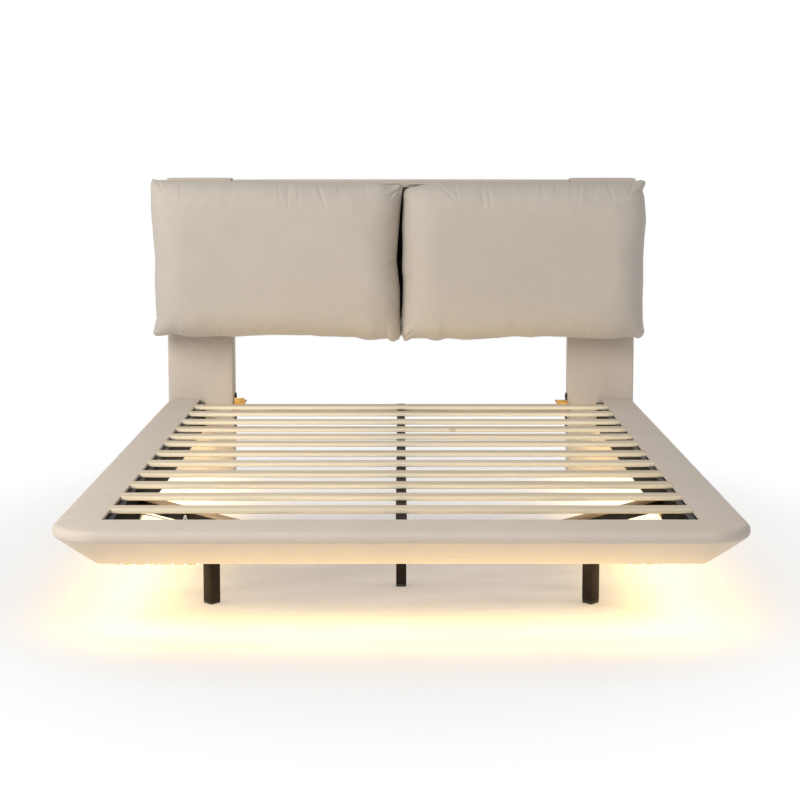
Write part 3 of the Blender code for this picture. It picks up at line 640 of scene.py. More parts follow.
def padded_box(name, low, high, radius, crown):
    """An upholstered block: rounded edges and faces that swell a little in the middle."""
    bm = bmesh.new()
    centre = (low + high) / 2
    half = (high - low) / 2

    def spread(extent):
        count = max(4, round(2 * extent / PADDING_CELL))
        inner = extent - radius
        marks = [-extent + radius * (1 - math.cos(math.pi / 2 * step / ROUNDING_STEPS))
                 for step in range(ROUNDING_STEPS)]
        marks += [-inner + 2 * inner * step / count for step in range(count + 1)]
        marks += [-mark for mark in reversed(marks[:ROUNDING_STEPS])]
        return marks

    axes = [spread(extent) for extent in half]
    made = {}

    def vert(point):
        key = tuple(round(value, 6) for value in point)
        if key not in made:
            place = Vector(point)
            core = Vector([max(-h + radius, min(h - radius, p))
                           for p, h in zip(place, half)])
            out = place - core
            if out.length > 0:
                out = out.normalized() * radius
            swell = Vector((0, 0, 0))
            for axis in range(3):
                if abs(abs(place[axis]) - half[axis]) < 1e-7:
                    fade = 1.0
                    for other in {0, 1, 2} - {axis}:
                        fade *= 1 - (place[other] / half[other]) ** 4
                    swell[axis] = math.copysign(crown[axis], place[axis]) * (max(0.0, fade) - 1)
            made[key] = bm.verts.new(centre + core + out + swell)
        return made[key]

    for axis in range(3):
        first, second = sorted({0, 1, 2} - {axis})
        for side in (-1, 1):
            for i in range(len(axes[first]) - 1):
                for j in range(len(axes[second]) - 1):
                    corners = []
                    for di, dj in ((0, 0), (1, 0), (1, 1), (0, 1)):
                        point = [0.0, 0.0, 0.0]
                        point[axis] = side * half[axis]
                        point[first] = axes[first][i + di]
                        point[second] = axes[second][j + dj]
                        corners.append(vert(point))
                    if len(set(corners)) > 2:
                        bm.faces.new(corners)
    return mesh_from(bm, name, 60.0)


class BED_OT_headboard(bpy.types.Operator):
    """Make the upholstered posts and the crossbar between them"""
    bl_idname = "bed.headboard"
    bl_label = "Headboard"

    def execute(self, context):
        for name, radius, crown in (("left_post", 0.011, (0.0015, 0.0020, 0.001)),
                                    ("right_post", 0.011, (0.0015, 0.0020, 0.001)),
                                    ("crossbar", 0.009, (0.0002, 0.0015, 0.001))):
            mesh = padded_box(name, *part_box(f"{name}_cover"), radius, crown)
            add_piece(name, mesh, "velvet", nodes=(f"{name}_cover", f"{name}_core"))
        mesh = softened("crossbar_lining", 0.0004, 1)
        add_piece("crossbar_lining_cloth", mesh, "lining", nodes=("crossbar_lining",))
        return {"FINISHED"}


# Slats

def slat_shape(settings, half):
    """One slat about its centre, rounded along its edges and at its corners."""
    bm = bmesh.new()
    plan = []
    radius = settings.corner
    for quarter, (a, b) in enumerate(((1, 1), (-1, 1), (-1, -1), (1, -1))):
        plan += arc((a * (half.x - radius), b * (half.y - radius)), radius,
                    90 * quarter, 90 * quarter + 90, 6)
    edge = min(settings.edge, half.z * 0.98)
    rings = []
    for height, turn in ([(-half.z + edge, t) for t in (-90, -67, -45, -22, 0)]
                         + [(half.z - edge, t) for t in (0, 22, 45, 67, 90)]):
        inward = edge * (1 - math.cos(math.radians(turn)))
        z = height + edge * math.sin(math.radians(turn))
        rings.append([(x - math.copysign(inward, x), y - math.copysign(inward, y), z)
                      for x, y in plan])
    loft(bm, rings)
    mesh = mesh_from(bm, "slat_shape", 50.0)
    # Painted highlight: the steeper a face, the paler its pine is painted, as lit from the front
    # and below
    edge_highlight = mesh.attributes.new("slat_edge_highlight", "FLOAT", "FACE")
    for face, value in zip(mesh.polygons, edge_highlight.data):
        value.value = min(1.0, max(0.0, 1.6 - 2.0 * abs(face.normal.z)))
    return mesh


class BED_OT_slats(bpy.types.Operator):
    """Lay the pine slats across the bed"""
    bl_idname = "bed.slats"
    bl_label = "Slats"

    def execute(self, context):
        settings = context.scene.bed_slats
        names = sorted(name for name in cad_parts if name.startswith("slat_"))
        boxes = [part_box(name) for name in names]
        half = (boxes[0][1] - boxes[0][0]) / 2
        half.x += settings.overlap
        shift = Vector((-settings.overlap / 2, 0.0, 0.0))
        places = [(low + high) / 2 + shift for low, high in boxes]
        scatter("pine_slats", places, slat_shape(settings, half), "pine",
                nodes=names, seed=7)
        return {"FINISHED"}


# Boards, steel frame and fittings

# Height of the uncoated rim round the top of each brace
BARE_RIM = 0.008
SOFT_EDGES = (
    ("board", 0.0010, ("foot_board", "left_side_board", "right_side_board")),
    ("tape", 0.0004, ("left_slat_tape", "right_slat_tape",
                      "left_cushion_tape", "right_cushion_tape")),
    ("steel", 0.0018, ("centre_beam", "front_centre_leg", "rear_centre_leg",
                       "left_corner_brace", "right_corner_brace")),
    ("tan", 0.0018, ("head_cross_rail",)),
    ("steel", 0.0006, ("left_post_plate", "right_post_plate")),
    ("foot", 0.0018, ("left_front_foot", "right_front_foot")),
    ("zinc", 0.0006, ("left_brace_side_bracket", "right_brace_side_bracket",
                      "left_brace_foot_bracket", "right_brace_foot_bracket",
                      "left_post_bracket", "right_post_bracket")),
    ("plastic", 0.0008, ("front_centre_pad", "rear_centre_pad", "left_front_pad",
                         "right_front_pad", "light_controller", "power_gland")),
)


def bare_top(mesh):
    """Give the brace's top and its upper rim the colour of uncoated board."""
    mesh.materials.append(FINISHES["edge"])
    rim = max(vertex.co.z for vertex in mesh.vertices) - BARE_RIM
    bm = bmesh.new()
    bm.from_mesh(mesh)
    bmesh.ops.bisect_plane(bm, geom=[*bm.verts, *bm.edges, *bm.faces], dist=1e-6,
                           plane_co=(0.0, 0.0, rim), plane_no=(0.0, 0.0, 1.0))
    for face in bm.faces:
        if min(vertex.co.z for vertex in face.verts) > rim - 1e-5:
            face.material_index = 1
    bm.to_mesh(mesh)
    bm.free()


class BED_OT_frame(bpy.types.Operator):
    """Round the edges of the boards, the steel frame and its fittings"""
    bl_idname = "bed.frame"
    bl_label = "Frame"

    def execute(self, context):
        for finish, bevel, nodes in SOFT_EDGES:
            for node in nodes:
                piece = add_piece(f"{node}_made", softened(node, bevel), finish, nodes=(node,))
                if node.endswith("corner_brace"):
                    bare_top(piece.data)
        for side, _ in SIDES:
            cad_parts[f"{side}_side_rail_core"].data.materials[0] = FINISHES["timber"]
        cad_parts["foot_rail_core"].data.materials[0] = FINISHES["timber"]
        return {"FINISHED"}


# Strip light and lead

# Where the foot strip has come loose: start and end across the bed, and its sag
STRIP_SAGS = ((-0.800, -0.525, 0.0045), (0.576, 0.705, 0.0042))
SAG_RUN = 0.03
STRIP_SPACING = 0.015
CHIP_SIZE = (0.0050, 0.0050, 0.0014)
CHIP_BEVEL = 0.0004
CHIP_SPACING = 0.0333
CHIP_END_GAP = 0.02
# The strip's outline, as shares of its box across and up
STRIP_SECTION = ((0, 0.2), (0, 0.8), (0.06, 1), (0.94, 1), (1, 0.8), (1, 0.2), (0.94, 0),
                 (0.06, 0))


def strip_sag(side, mark):
    """How far a light strip hangs down at a place along it."""
    deepest = 0.0
    for start, end, depth in STRIP_SAGS if side == "foot" else ():
        share = min(1.0, max(0.0, min(mark - start, end - mark) / SAG_RUN))
        deepest = max(deepest, depth * share * share * (3 - 2 * share))
    return deepest


def strip_mesh(name, side, low, high):
    """The strip's base, hanging down where it is loose."""
    along = 0 if side == "foot" else 1
    across = 1 - along
    rings = []
    for mark in run(low[along], high[along], STRIP_SPACING):
        ring = []
        for a, b in STRIP_SECTION:
            point = Vector((0, 0, low.z + b * (high.z - low.z) - strip_sag(side, mark)))
            point[along] = mark
            point[across] = low[across] + a * (high[across] - low[across])
            ring.append(point)
        rings.append(ring)
    bm = bmesh.new()
    loft(bm, rings)
    return mesh_from(bm, name)


class BED_OT_light(bpy.types.Operator):
    """Make the light strips with their chips, and the lead to the controller"""
    bl_idname = "bed.light"
    bl_label = "Strip light"

    def execute(self, context):
        chip = bmesh.new()
        bmesh.ops.create_cube(chip, size=1.0)
        bmesh.ops.scale(chip, vec=CHIP_SIZE, verts=chip.verts)
        bmesh.ops.bevel(chip, geom=list(chip.edges), offset=CHIP_BEVEL, segments=1, profile=0.5,
                        affect="EDGES")
        chip_mesh = mesh_from(chip, "chip_shape")
        for side in ("foot", "left", "right"):
            node = f"{side}_light_strip"
            low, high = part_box(node)
            mesh = strip_mesh(f"{node}_base", side, low, high)
            add_piece(f"{node}_base", mesh, "strip", nodes=(node,))
            along = 0 if side == "foot" else 1
            places = []
            for mark in run(low[along] + CHIP_END_GAP, high[along] - CHIP_END_GAP, CHIP_SPACING):
                point = (low + high) / 2
                point[along] = mark
                point.z = low.z - CHIP_BEVEL - strip_sag(side, mark)
                places.append(point)
            scatter(f"{side}_light_chips", places, chip_mesh.copy(), "chip")
        mesh = mesh_from(node_mesh("light_lead", WELD), "light_lead_made", 70.0)
        add_piece("light_lead_made", mesh, "lead", nodes=("light_lead",))
        return {"FINISHED"}


# Cushions

# How far each edge stands out from the cushion's box, as (share along it, metres)
CUSHION_EDGES = {
    "left": {
        "left": ((0, 0.003), (0.02, 0.0115), (0.04, 0.014), (0.08, 0.0085), (0.131, -0.0019),
            (0.371, 0.0027), (0.515, -0.0011), (0.654, 0.0066), (0.81, 0.0131), (0.96, 0.0143),
            (0.985, 0.015), (1, 0.01)),
        "right": ((0, -0.012), (0.03, -0.005), (0.086, -0.0075), (0.181, -0.012), (0.308, -0.012),
            (0.434, -0.0197), (0.49, -0.0244), (0.53, -0.024), (0.622, -0.0197), (0.779, -0.012),
            (0.904, -0.0043), (0.972, 0.0042), (1, 0.004)),
        "bottom": ((0, -0.011), (0.02, -0.0102), (0.058, -0.0157), (0.086, -0.0172),
            (0.114, -0.0094), (0.179, -0.0083), (0.268, -0.0122), (0.312, -0.0083),
            (0.401, -0.0133), (0.482, -0.0161), (0.583, -0.0141), (0.616, -0.0153),
            (0.656, -0.0102), (0.745, -0.0083), (0.793, -0.0075), (0.846, 0.0038),
            (0.882, 0.0046), (0.927, -0.0005), (0.955, 0.012), (0.975, 0.0113), (1, -0.0024)),
        "top": ((0, 0.0049), (0.025, -0.0016), (0.179, -0.003), (0.308, -0.004), (0.442, -0.0047),
            (0.583, -0.0112), (0.704, -0.0131), (0.785, -0.0151), (0.907, -0.0105),
            (0.967, -0.0143), (1, -0.015)),
    },
    "right": {
        "left": ((0, 0.004), (0.03, 0.0111), (0.118, 0.0105), (0.245, 0.0053), (0.371, 0.0034),
            (0.434, 0.0073), (0.591, 0.0053), (0.716, 0.0073), (0.873, 0.0026), (0.923, 0.0034),
            (0.96, -0.0043), (1, -0.006)),
        "right": ((0, -0.014), (0.02, -0.006), (0.048, -0.0025), (0.118, -0.0108),
            (0.245, -0.0139), (0.371, -0.012), (0.497, -0.0139), (0.654, -0.0097),
            (0.735, -0.0043), (0.779, -0.0051), (0.891, -0.0112), (0.935, -0.0174),
            (0.954, -0.0097), (0.985, -0.0043), (1, -0.01)),
        "bottom": ((0, 0.01), (0.021, 0.0093), (0.038, -0.0012), (0.087, -0.0016), (0.12, 0.0073),
            (0.153, 0.0062), (0.182, -0.0024), (0.244, 0.0034), (0.314, 0.0015), (0.397, -0.0044),
            (0.459, -0.0102), (0.521, -0.0063), (0.583, -0.0102), (0.673, -0.0079),
            (0.748, -0.004), (0.818, -0.0012), (0.872, -0.0005), (0.913, -0.0079),
            (0.946, -0.0048), (0.979, 0.0007), (1, -0.0083)),
        "top": ((0, -0.02), (0.025, -0.0151), (0.149, -0.0112), (0.273, -0.0131),
            (0.479, -0.0116), (0.645, -0.0078), (0.81, -0.0055), (0.933, -0.007),
            (0.958, -0.0028), (0.975, -0.0005), (1, -0.0055)),
    },
}
# Short creases near the seams: start and end as shares of the box, depth and breadth in mm
CREASES = {
    "left": (
        (0.975, 0.507, 0.92, 0.451, 11, 5), (0.995, 0.951, 0.94, 0.889, 8, 5),
        (0.987, 0.926, 0.96, 0.852, 6, 4), (0.972, 0.963, 0.9, 0.92, 5, 5),
        (0.502, 0.963, 0.514, 0.865, 3.5, 5), (0.541, 0.963, 0.549, 0.791, 4, 5),
        (0.581, 0.957, 0.589, 0.834, 4, 5), (0.661, 0.951, 0.697, 0.828, 6, 5),
        (0.741, 0.957, 0.753, 0.883, 3, 5), (0.848, 0.957, 0.86, 0.883, 4, 5),
        (0.02, 0.987, 0.06, 0.901, 7, 4), (0.044, 0.987, 0.064, 0.938, 4, 4),
        (0.115, 0.975, 0.119, 0.871, 3, 5), (0.318, 0.975, 0.322, 0.901, 2.5, 6),
        (0.983, 0.778, 0.948, 0.735, 5, 4), (0.979, 0.68, 0.944, 0.643, 4, 4),
        (0.975, 0.606, 0.932, 0.556, 4, 4), (0.987, 0.333, 0.952, 0.358, 4, 4),
        (0.983, 0.221, 0.952, 0.252, 4, 4), (0.103, 0.046, 0.08, 0.096, 4, 5),
        (0.259, 0.04, 0.283, 0.09, 5, 5), (0.422, 0.046, 0.414, 0.09, 3, 5),
        (0.609, 0.046, 0.589, 0.096, 5, 5), (0.788, 0.034, 0.816, 0.084, 5, 5),
        (0.908, 0.015, 0.876, 0.065, 6, 5), (0.956, 0.009, 0.924, 0.071, 5, 4),
        (0.016, 0.494, 0.052, 0.469, 4, 5), (0.012, 0.351, 0.06, 0.382, 4, 5),
        (0.012, 0.146, 0.048, 0.183, 5, 5)),
    "right": (
        (0.147, 0.957, 0.232, 0.846, 4, 5), (0.208, 0.963, 0.22, 0.858, 3.5, 5),
        (0.309, 0.963, 0.326, 0.809, 4, 5), (0.342, 0.957, 0.354, 0.797, 3.5, 5),
        (0.472, 0.963, 0.476, 0.889, 2.5, 5), (0.557, 0.963, 0.561, 0.871, 3.5, 5),
        (0.618, 0.963, 0.61, 0.889, 2.5, 5), (0.716, 0.969, 0.7, 0.834, 4, 5),
        (0.826, 0.975, 0.846, 0.871, 4, 5), (0.936, 0.975, 0.903, 0.889, 4, 5),
        (0.002, 0.494, 0.025, 0.451, 6, 4), (0.002, 0.877, 0.028, 0.84, 5, 4),
        (0.002, 0.741, 0.028, 0.717, 4, 4), (0.002, 0.246, 0.024, 0.271, 4, 4),
        (0.002, 0.146, 0.022, 0.109, 5, 4), (0.004, 0.015, 0.049, 0.077, 7, 4),
        (0.025, 0.009, 0.082, 0.052, 6, 4), (0.106, 0.015, 0.094, 0.065, 4, 5),
        (0.171, 0.021, 0.147, 0.071, 5, 5), (0.269, 0.021, 0.285, 0.065, 4, 5),
        (0.391, 0.027, 0.411, 0.077, 4, 5), (0.525, 0.027, 0.513, 0.077, 4, 5),
        (0.757, 0.027, 0.736, 0.077, 4, 5), (0.887, 0.034, 0.911, 0.084, 5, 5),
        (0.964, 0.932, 0.932, 0.914, 5, 5), (0.976, 0.741, 0.944, 0.717, 4, 5),
        (0.968, 0.494, 0.936, 0.519, 3, 5), (0.968, 0.258, 0.936, 0.227, 3, 5)),
}
EDGE_SAMPLES = 400
EDGE_SMOOTHING = 7
EDGE_BINS = 56
# How far in from a side its points move when it is fitted to its edge
FIT_REACH = 0.16
# Share of the cushion's depth in front of its seam, and the powers of its rounded profile
FRONT_SHARE = 0.68
PLUMP_ACROSS = 8.5
PLUMP_UP = 5.8
PLUMP_ROOT = 2.2
PLUMP_SAMPLES = 4001
# Depth of the filling's bumps and how many of them fit in a metre
FILLING_BUMP = 0.003
FILLING_GRAIN = 24
CREASE_UNIT = 0.00075
PUCKER_DEPTH = 0.0011
PUCKER_REACH = 0.030
# Radians for each metre along a seam: the gathers, their drift and their swelling
PUCKER_WAVES = (330, 61, 23)
# The plates that the filling presses against, and the cloth's own settings
PLATE_SIZE = 1.2
PLATE_SKIN = 0.004
CLOTH_GAP = 0.003
CLOTH = {"quality": 6, "mass": 0.18, "tension_stiffness": 30, "compression_stiffness": 20,
         "shear_stiffness": 8, "air_damping": 2.0, "use_pressure": True,
         "vertex_group_mass": "rim", "vertex_group_shrink": "spare", "shrink_min": 0.0}


def edge_line(table):
    """A smooth table of an edge's offsets at even steps along it."""
    shares, offsets = zip(*table)
    rough = np.interp(np.linspace(0, 1, EDGE_SAMPLES), shares, offsets)
    window = np.hanning(2 * EDGE_SMOOTHING + 1)
    padded = np.pad(rough, EDGE_SMOOTHING, mode="edge")
    return np.convolve(padded, window / window.sum(), mode="valid")


def edge_at(line, share):
    return np.interp(share, np.linspace(0, 1, EDGE_SAMPLES), line)


def even_shares(count, half, depth, plump):
    """Shares from -1 to 1 that are evenly spaced along a rounded profile."""
    fine = np.linspace(-1, 1, PLUMP_SAMPLES)
    rise = depth * (1 - np.abs(fine) ** plump) ** (1 / PLUMP_ROOT)
    way = np.concatenate([[0.0], np.cumsum(np.hypot(np.diff(fine) * half, np.diff(rise)))])
    return np.interp(np.linspace(0, way[-1], count + 1), way, fine)


def pillow_sheets(low, high, edges, settings, seed):
    """Front and back sheets of a full pillow, sewn round a rim that follows its edges."""
    size = high - low
    front = size.y * FRONT_SHARE
    columns = round((size.x + front) / settings.cell)
    rows = round((size.z + front) / settings.cell)
    across = even_shares(columns, size.x / 2, front, PLUMP_ACROSS)
    upward = even_shares(rows, size.z / 2, front, PLUMP_UP)
    lines = {name: edge_line(table) for name, table in edges.items()}
    bm = bmesh.new()
    grids = []
    rim = []
    spare = []
    for facing, depth in ((-1, front), (1, size.y * (1 - FRONT_SHARE))):
        grid = []
        for row, v in enumerate(upward):
            line = []
            for column, u in enumerate(across):
                on_rim = column in (0, columns) or row in (0, rows)
                if on_rim and facing == 1:
                    line.append(grids[0][row][column])
                    continue
                share_x = (u + 1) / 2
                share_z = (v + 1) / 2
                left = low.x - edge_at(lines["left"], share_z)
                right = high.x + edge_at(lines["right"], share_z)
                under = low.z - edge_at(lines["bottom"], share_x)
                over = high.z + edge_at(lines["top"], share_x)
                x = left + (right - left) * share_x
                z = under + (over - under) * share_z
                full = ((1 - abs(u) ** PLUMP_ACROSS) * (1 - abs(v) ** PLUMP_UP))
                full = max(0.0, full) ** (1 / PLUMP_ROOT)
                rough = FILLING_BUMP * noise.noise(
                    Vector((x * FILLING_GRAIN + seed, z * FILLING_GRAIN, facing * 3.0)))
                y = 0.0 if on_rim else facing * (depth * full * 0.97) + rough
                line.append(bm.verts.new((x, y, z)))
                away = min((1 - abs(u)) * size.x / 2, (1 - abs(v)) * size.z / 2)
                spare.append(max(0.0, 1 - away / settings.seam_zone))
                if on_rim:
                    rim.append(line[-1])
            grid.append(line)
        grids.append(grid)
        for row in range(rows):
            for column in range(columns):
                bm.faces.new((grid[row][column], grid[row][column + 1],
                              grid[row + 1][column + 1], grid[row + 1][column]))
    bmesh.ops.recalc_face_normals(bm, faces=bm.faces)
    if bm.calc_volume(signed=True) < 0:
        bmesh.ops.reverse_faces(bm, faces=bm.faces)
    bm.verts.index_update()
    rim_indices = [vert.index for vert in rim]
    pillow = linked("pillow", plain_mesh(bm, "pillow_sheets"))
    pillow.vertex_groups.new(name="rim").add(rim_indices, 1.0, "REPLACE")
    group = pillow.vertex_groups.new(name="spare")
    for index, weight in enumerate(spare):
        group.add([index], weight, "REPLACE")
    return pillow


def press_plate(name, along, facing):
    """A flat plate that the filling pushes the cover against."""
    bm = bmesh.new()
    bmesh.ops.create_grid(bm, x_segments=1, y_segments=1, size=PLATE_SIZE)
    bmesh.ops.rotate(bm, verts=bm.verts,
                     matrix=Matrix.Rotation(math.radians(90 * facing), 3, "X"))
    bmesh.ops.translate(bm, verts=bm.verts, vec=(0, along, 0))
    plate = linked(name, plain_mesh(bm, name))
    plate.modifiers.new("press", "COLLISION")
    plate.collision.thickness_outer = PLATE_SKIN
    plate.collision.cloth_friction = 2.0
    return plate


def inflated(pillow, settings, back, front):
    """The sewn sheets blown up between two plates by a cloth simulation."""
    scene = bpy.context.scene
    plates = [press_plate("back_plate", back, 1), press_plate("front_plate", -front, -1)]
    cloth = pillow.modifiers.new("cloth", "CLOTH")
    values = cloth.settings
    for key, value in CLOTH.items():
        setattr(values, key, value)
    values.bending_stiffness = settings.bend
    values.uniform_pressure_force = settings.pressure
    values.effector_weights.gravity = 0.0
    values.shrink_max = -settings.ease
    cloth.collision_settings.use_collision = True
    cloth.collision_settings.distance_min = CLOTH_GAP
    cloth.collision_settings.use_self_collision = False
    cloth.point_cache.frame_start = 1
    cloth.point_cache.frame_end = settings.frames
    for step in range(1, settings.frames + 1):
        scene.frame_set(step)
    made = applied(pillow)
    for plate in plates:
        bpy.data.objects.remove(plate)
    scene.frame_set(1)
    return made


def fit_edges(points, low, high, edges):
    """Move a cushion's sides so that its outline follows its edges."""
    for along, across, names in ((2, 0, ("left", "right")), (0, 2, ("bottom", "top"))):
        shares = (points[:, along] - low[along]) / (high[along] - low[along])
        bins = np.clip((shares * EDGE_BINS).astype(int), 0, EDGE_BINS - 1)
        centres = (np.arange(EDGE_BINS) + 0.5) / EDGE_BINS
        for name, sign, straight in zip(names, (-1, 1), (low[across], high[across])):
            out = sign * (points[:, across] - straight)
            extreme = np.full(EDGE_BINS, -1.0)
            np.maximum.at(extreme, bins, out)
            wanted = edge_at(edge_line(edges[name]), centres)
            move = np.interp(shares, centres, wanted - extreme)
            weight = np.clip(1 + out / FIT_REACH, 0, 1)
            points[:, across] += sign * move * weight * weight * (3 - 2 * weight)


def add_creases(points, low, high, creases):
    """Press short creases into a cushion's front near its seams."""
    size = high - low
    front = points[:, 1] < high.y - size.y * (1 - FRONT_SHARE)
    flat = points[:, (0, 2)]
    for u0, v0, u1, v1, depth, breadth in creases:
        start = np.array((low.x + u0 * size.x, low.z + v0 * size.z))
        end = np.array((low.x + u1 * size.x, low.z + v1 * size.z))
        way = end - start
        share = np.clip(((flat - start) @ way) / (way @ way), 0, 1)
        away = np.linalg.norm(flat - start - share[:, None] * way, axis=1) * 1000 / breadth
        dip = np.exp(-away ** 2) - 0.35 * np.exp(-((away - 2.0) ** 2))
        fade = 1 - share ** 2
        points[:, 1] += np.where(front, depth * CREASE_UNIT * dip * (0.1 + 0.9 * fade), 0.0)


def add_puckers(points, low, high, seed):
    """Small gathers across the seams that fade out over the front."""
    front = points[:, 1] < high.y - (high.y - low.y) * (1 - FRONT_SHARE)
    gather, drift, swelling = PUCKER_WAVES
    for along, across in ((2, 0), (0, 2)):
        for straight in (low[across], high[across]):
            inward = np.abs(points[:, across] - straight)
            place = points[:, along] + 0.25 * inward * math.sin(seed)
            wave = (np.sin(place * gather + 2.2 * np.sin(place * drift + seed))
                    * (0.55 + 0.45 * np.sin(place * swelling + 2 * seed)))
            fade = np.exp(-(inward / PUCKER_REACH) ** 2)
            points[:, 1] += np.where(front, PUCKER_DEPTH * wave * fade, 0.0)


def subdivided(mesh):
    """The mesh smoothed once by subdivision."""
    holder = linked("smoothed", mesh)
    holder.modifiers.new("smooth", "SUBSURF").levels = 1
    return applied(holder)


def fit_cushion(mesh, low, high, side, seed):
    """Fill the cushion's depth, follow its edges and crease it; the mesh is changed."""
    points = np.zeros(len(mesh.vertices) * 3)
    mesh.vertices.foreach_get("co", points)
    points = points.reshape(-1, 3)
    deep = points[:, 1]
    points[:, 1] = low.y + (deep - deep.min()) / (deep.max() - deep.min()) * (high.y - low.y)
    for _ in range(3):
        fit_edges(points, low, high, CUSHION_EDGES[side])
    add_creases(points, low, high, CREASES[side])
    add_puckers(points, low, high, seed)
    mesh.vertices.foreach_set("co", points.ravel())
    mesh.update()


class BED_OT_cushions(bpy.types.Operator):
    """Inflate the two head cushions and set them against the headboard"""
    bl_idname = "bed.cushions"
    bl_label = "Cushions"

    def execute(self, context):
        settings = context.scene.bed_cushions
        for side, seed in (("left", 3.0), ("right", 14.0)):
            low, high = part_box(f"{side}_cushion")
            pillow = pillow_sheets(low, high, CUSHION_EDGES[side], settings, seed)
            depth = high.y - low.y
            mesh = inflated(pillow, settings, depth * (1 - FRONT_SHARE),
                            depth * FRONT_SHARE)
            mesh = subdivided(mesh)
            fit_cushion(mesh, low, high, side, seed)
            mesh.shade_smooth()
            mesh.materials.clear()
            piece = add_piece(f"{side}_head_cushion_cover", mesh, "cushion",
                              f"{side}_head_cushion", (f"{side}_cushion",))
        return {"FINISHED"}


# Studio

# The floor's glow with a painted shadow under the bed, warm as by the strips' glow: the shift that
# centres the shadow's rectangle, half the rectangle's size, and the colour by distance from it
SHADE_SHIFT = (0.0, 0.44, 0.0)
SHADE_HALF = (0.45, 0.30, 1.0)
SHADE_STOPS = ((0.0, (0.58, 0.46, 0.38)), (0.25, (0.56, 0.48, 0.42)),
               (0.42, (0.63, 0.58, 0.62)), (0.58, (0.83, 0.82, 0.83)), (0.75, (1.0, 1.0, 1.0)))
# The ellipse where the floor fades into the white backdrop
FADE_SCALE = (0.50, 0.42, 0.0)
FADE_START = 0.56
FADE_END = 0.86
FLOOR_REACH = 60
GLOW_DROP = 0.008
SKY_COLOUR = (0.95, 0.975, 1.0, 1.0)
BACKDROP_COLOUR = (1.0, 1.0, 1.0, 1.0)
KEY_PLACE = (-3.4, -3.2, 3.6)
KEY_TARGET = (0.0, 0.2, 0.6)
KEY_SIZE = (4.0, 3.2)
KEY_COLOUR = (1.0, 0.965, 0.91)
BOUNCE_COLOUR = (1.0, 0.80, 0.45)
# Light thrown up by the floor: name, place, size, share of the power, pieces that it lights
BOUNCES = (
    ("floor_bounce", (0.0, -1.03, 0.01), (1.7, 0.22), 1.0,
     ("foot_rail", "left_side_rail", "right_side_rail")),
    ("deck_bounce", (0.0, 0.70, 0.36), (1.5, 0.30), 0.75,
     ("left_head_cushion_cover", "right_head_cushion_cover")),
)


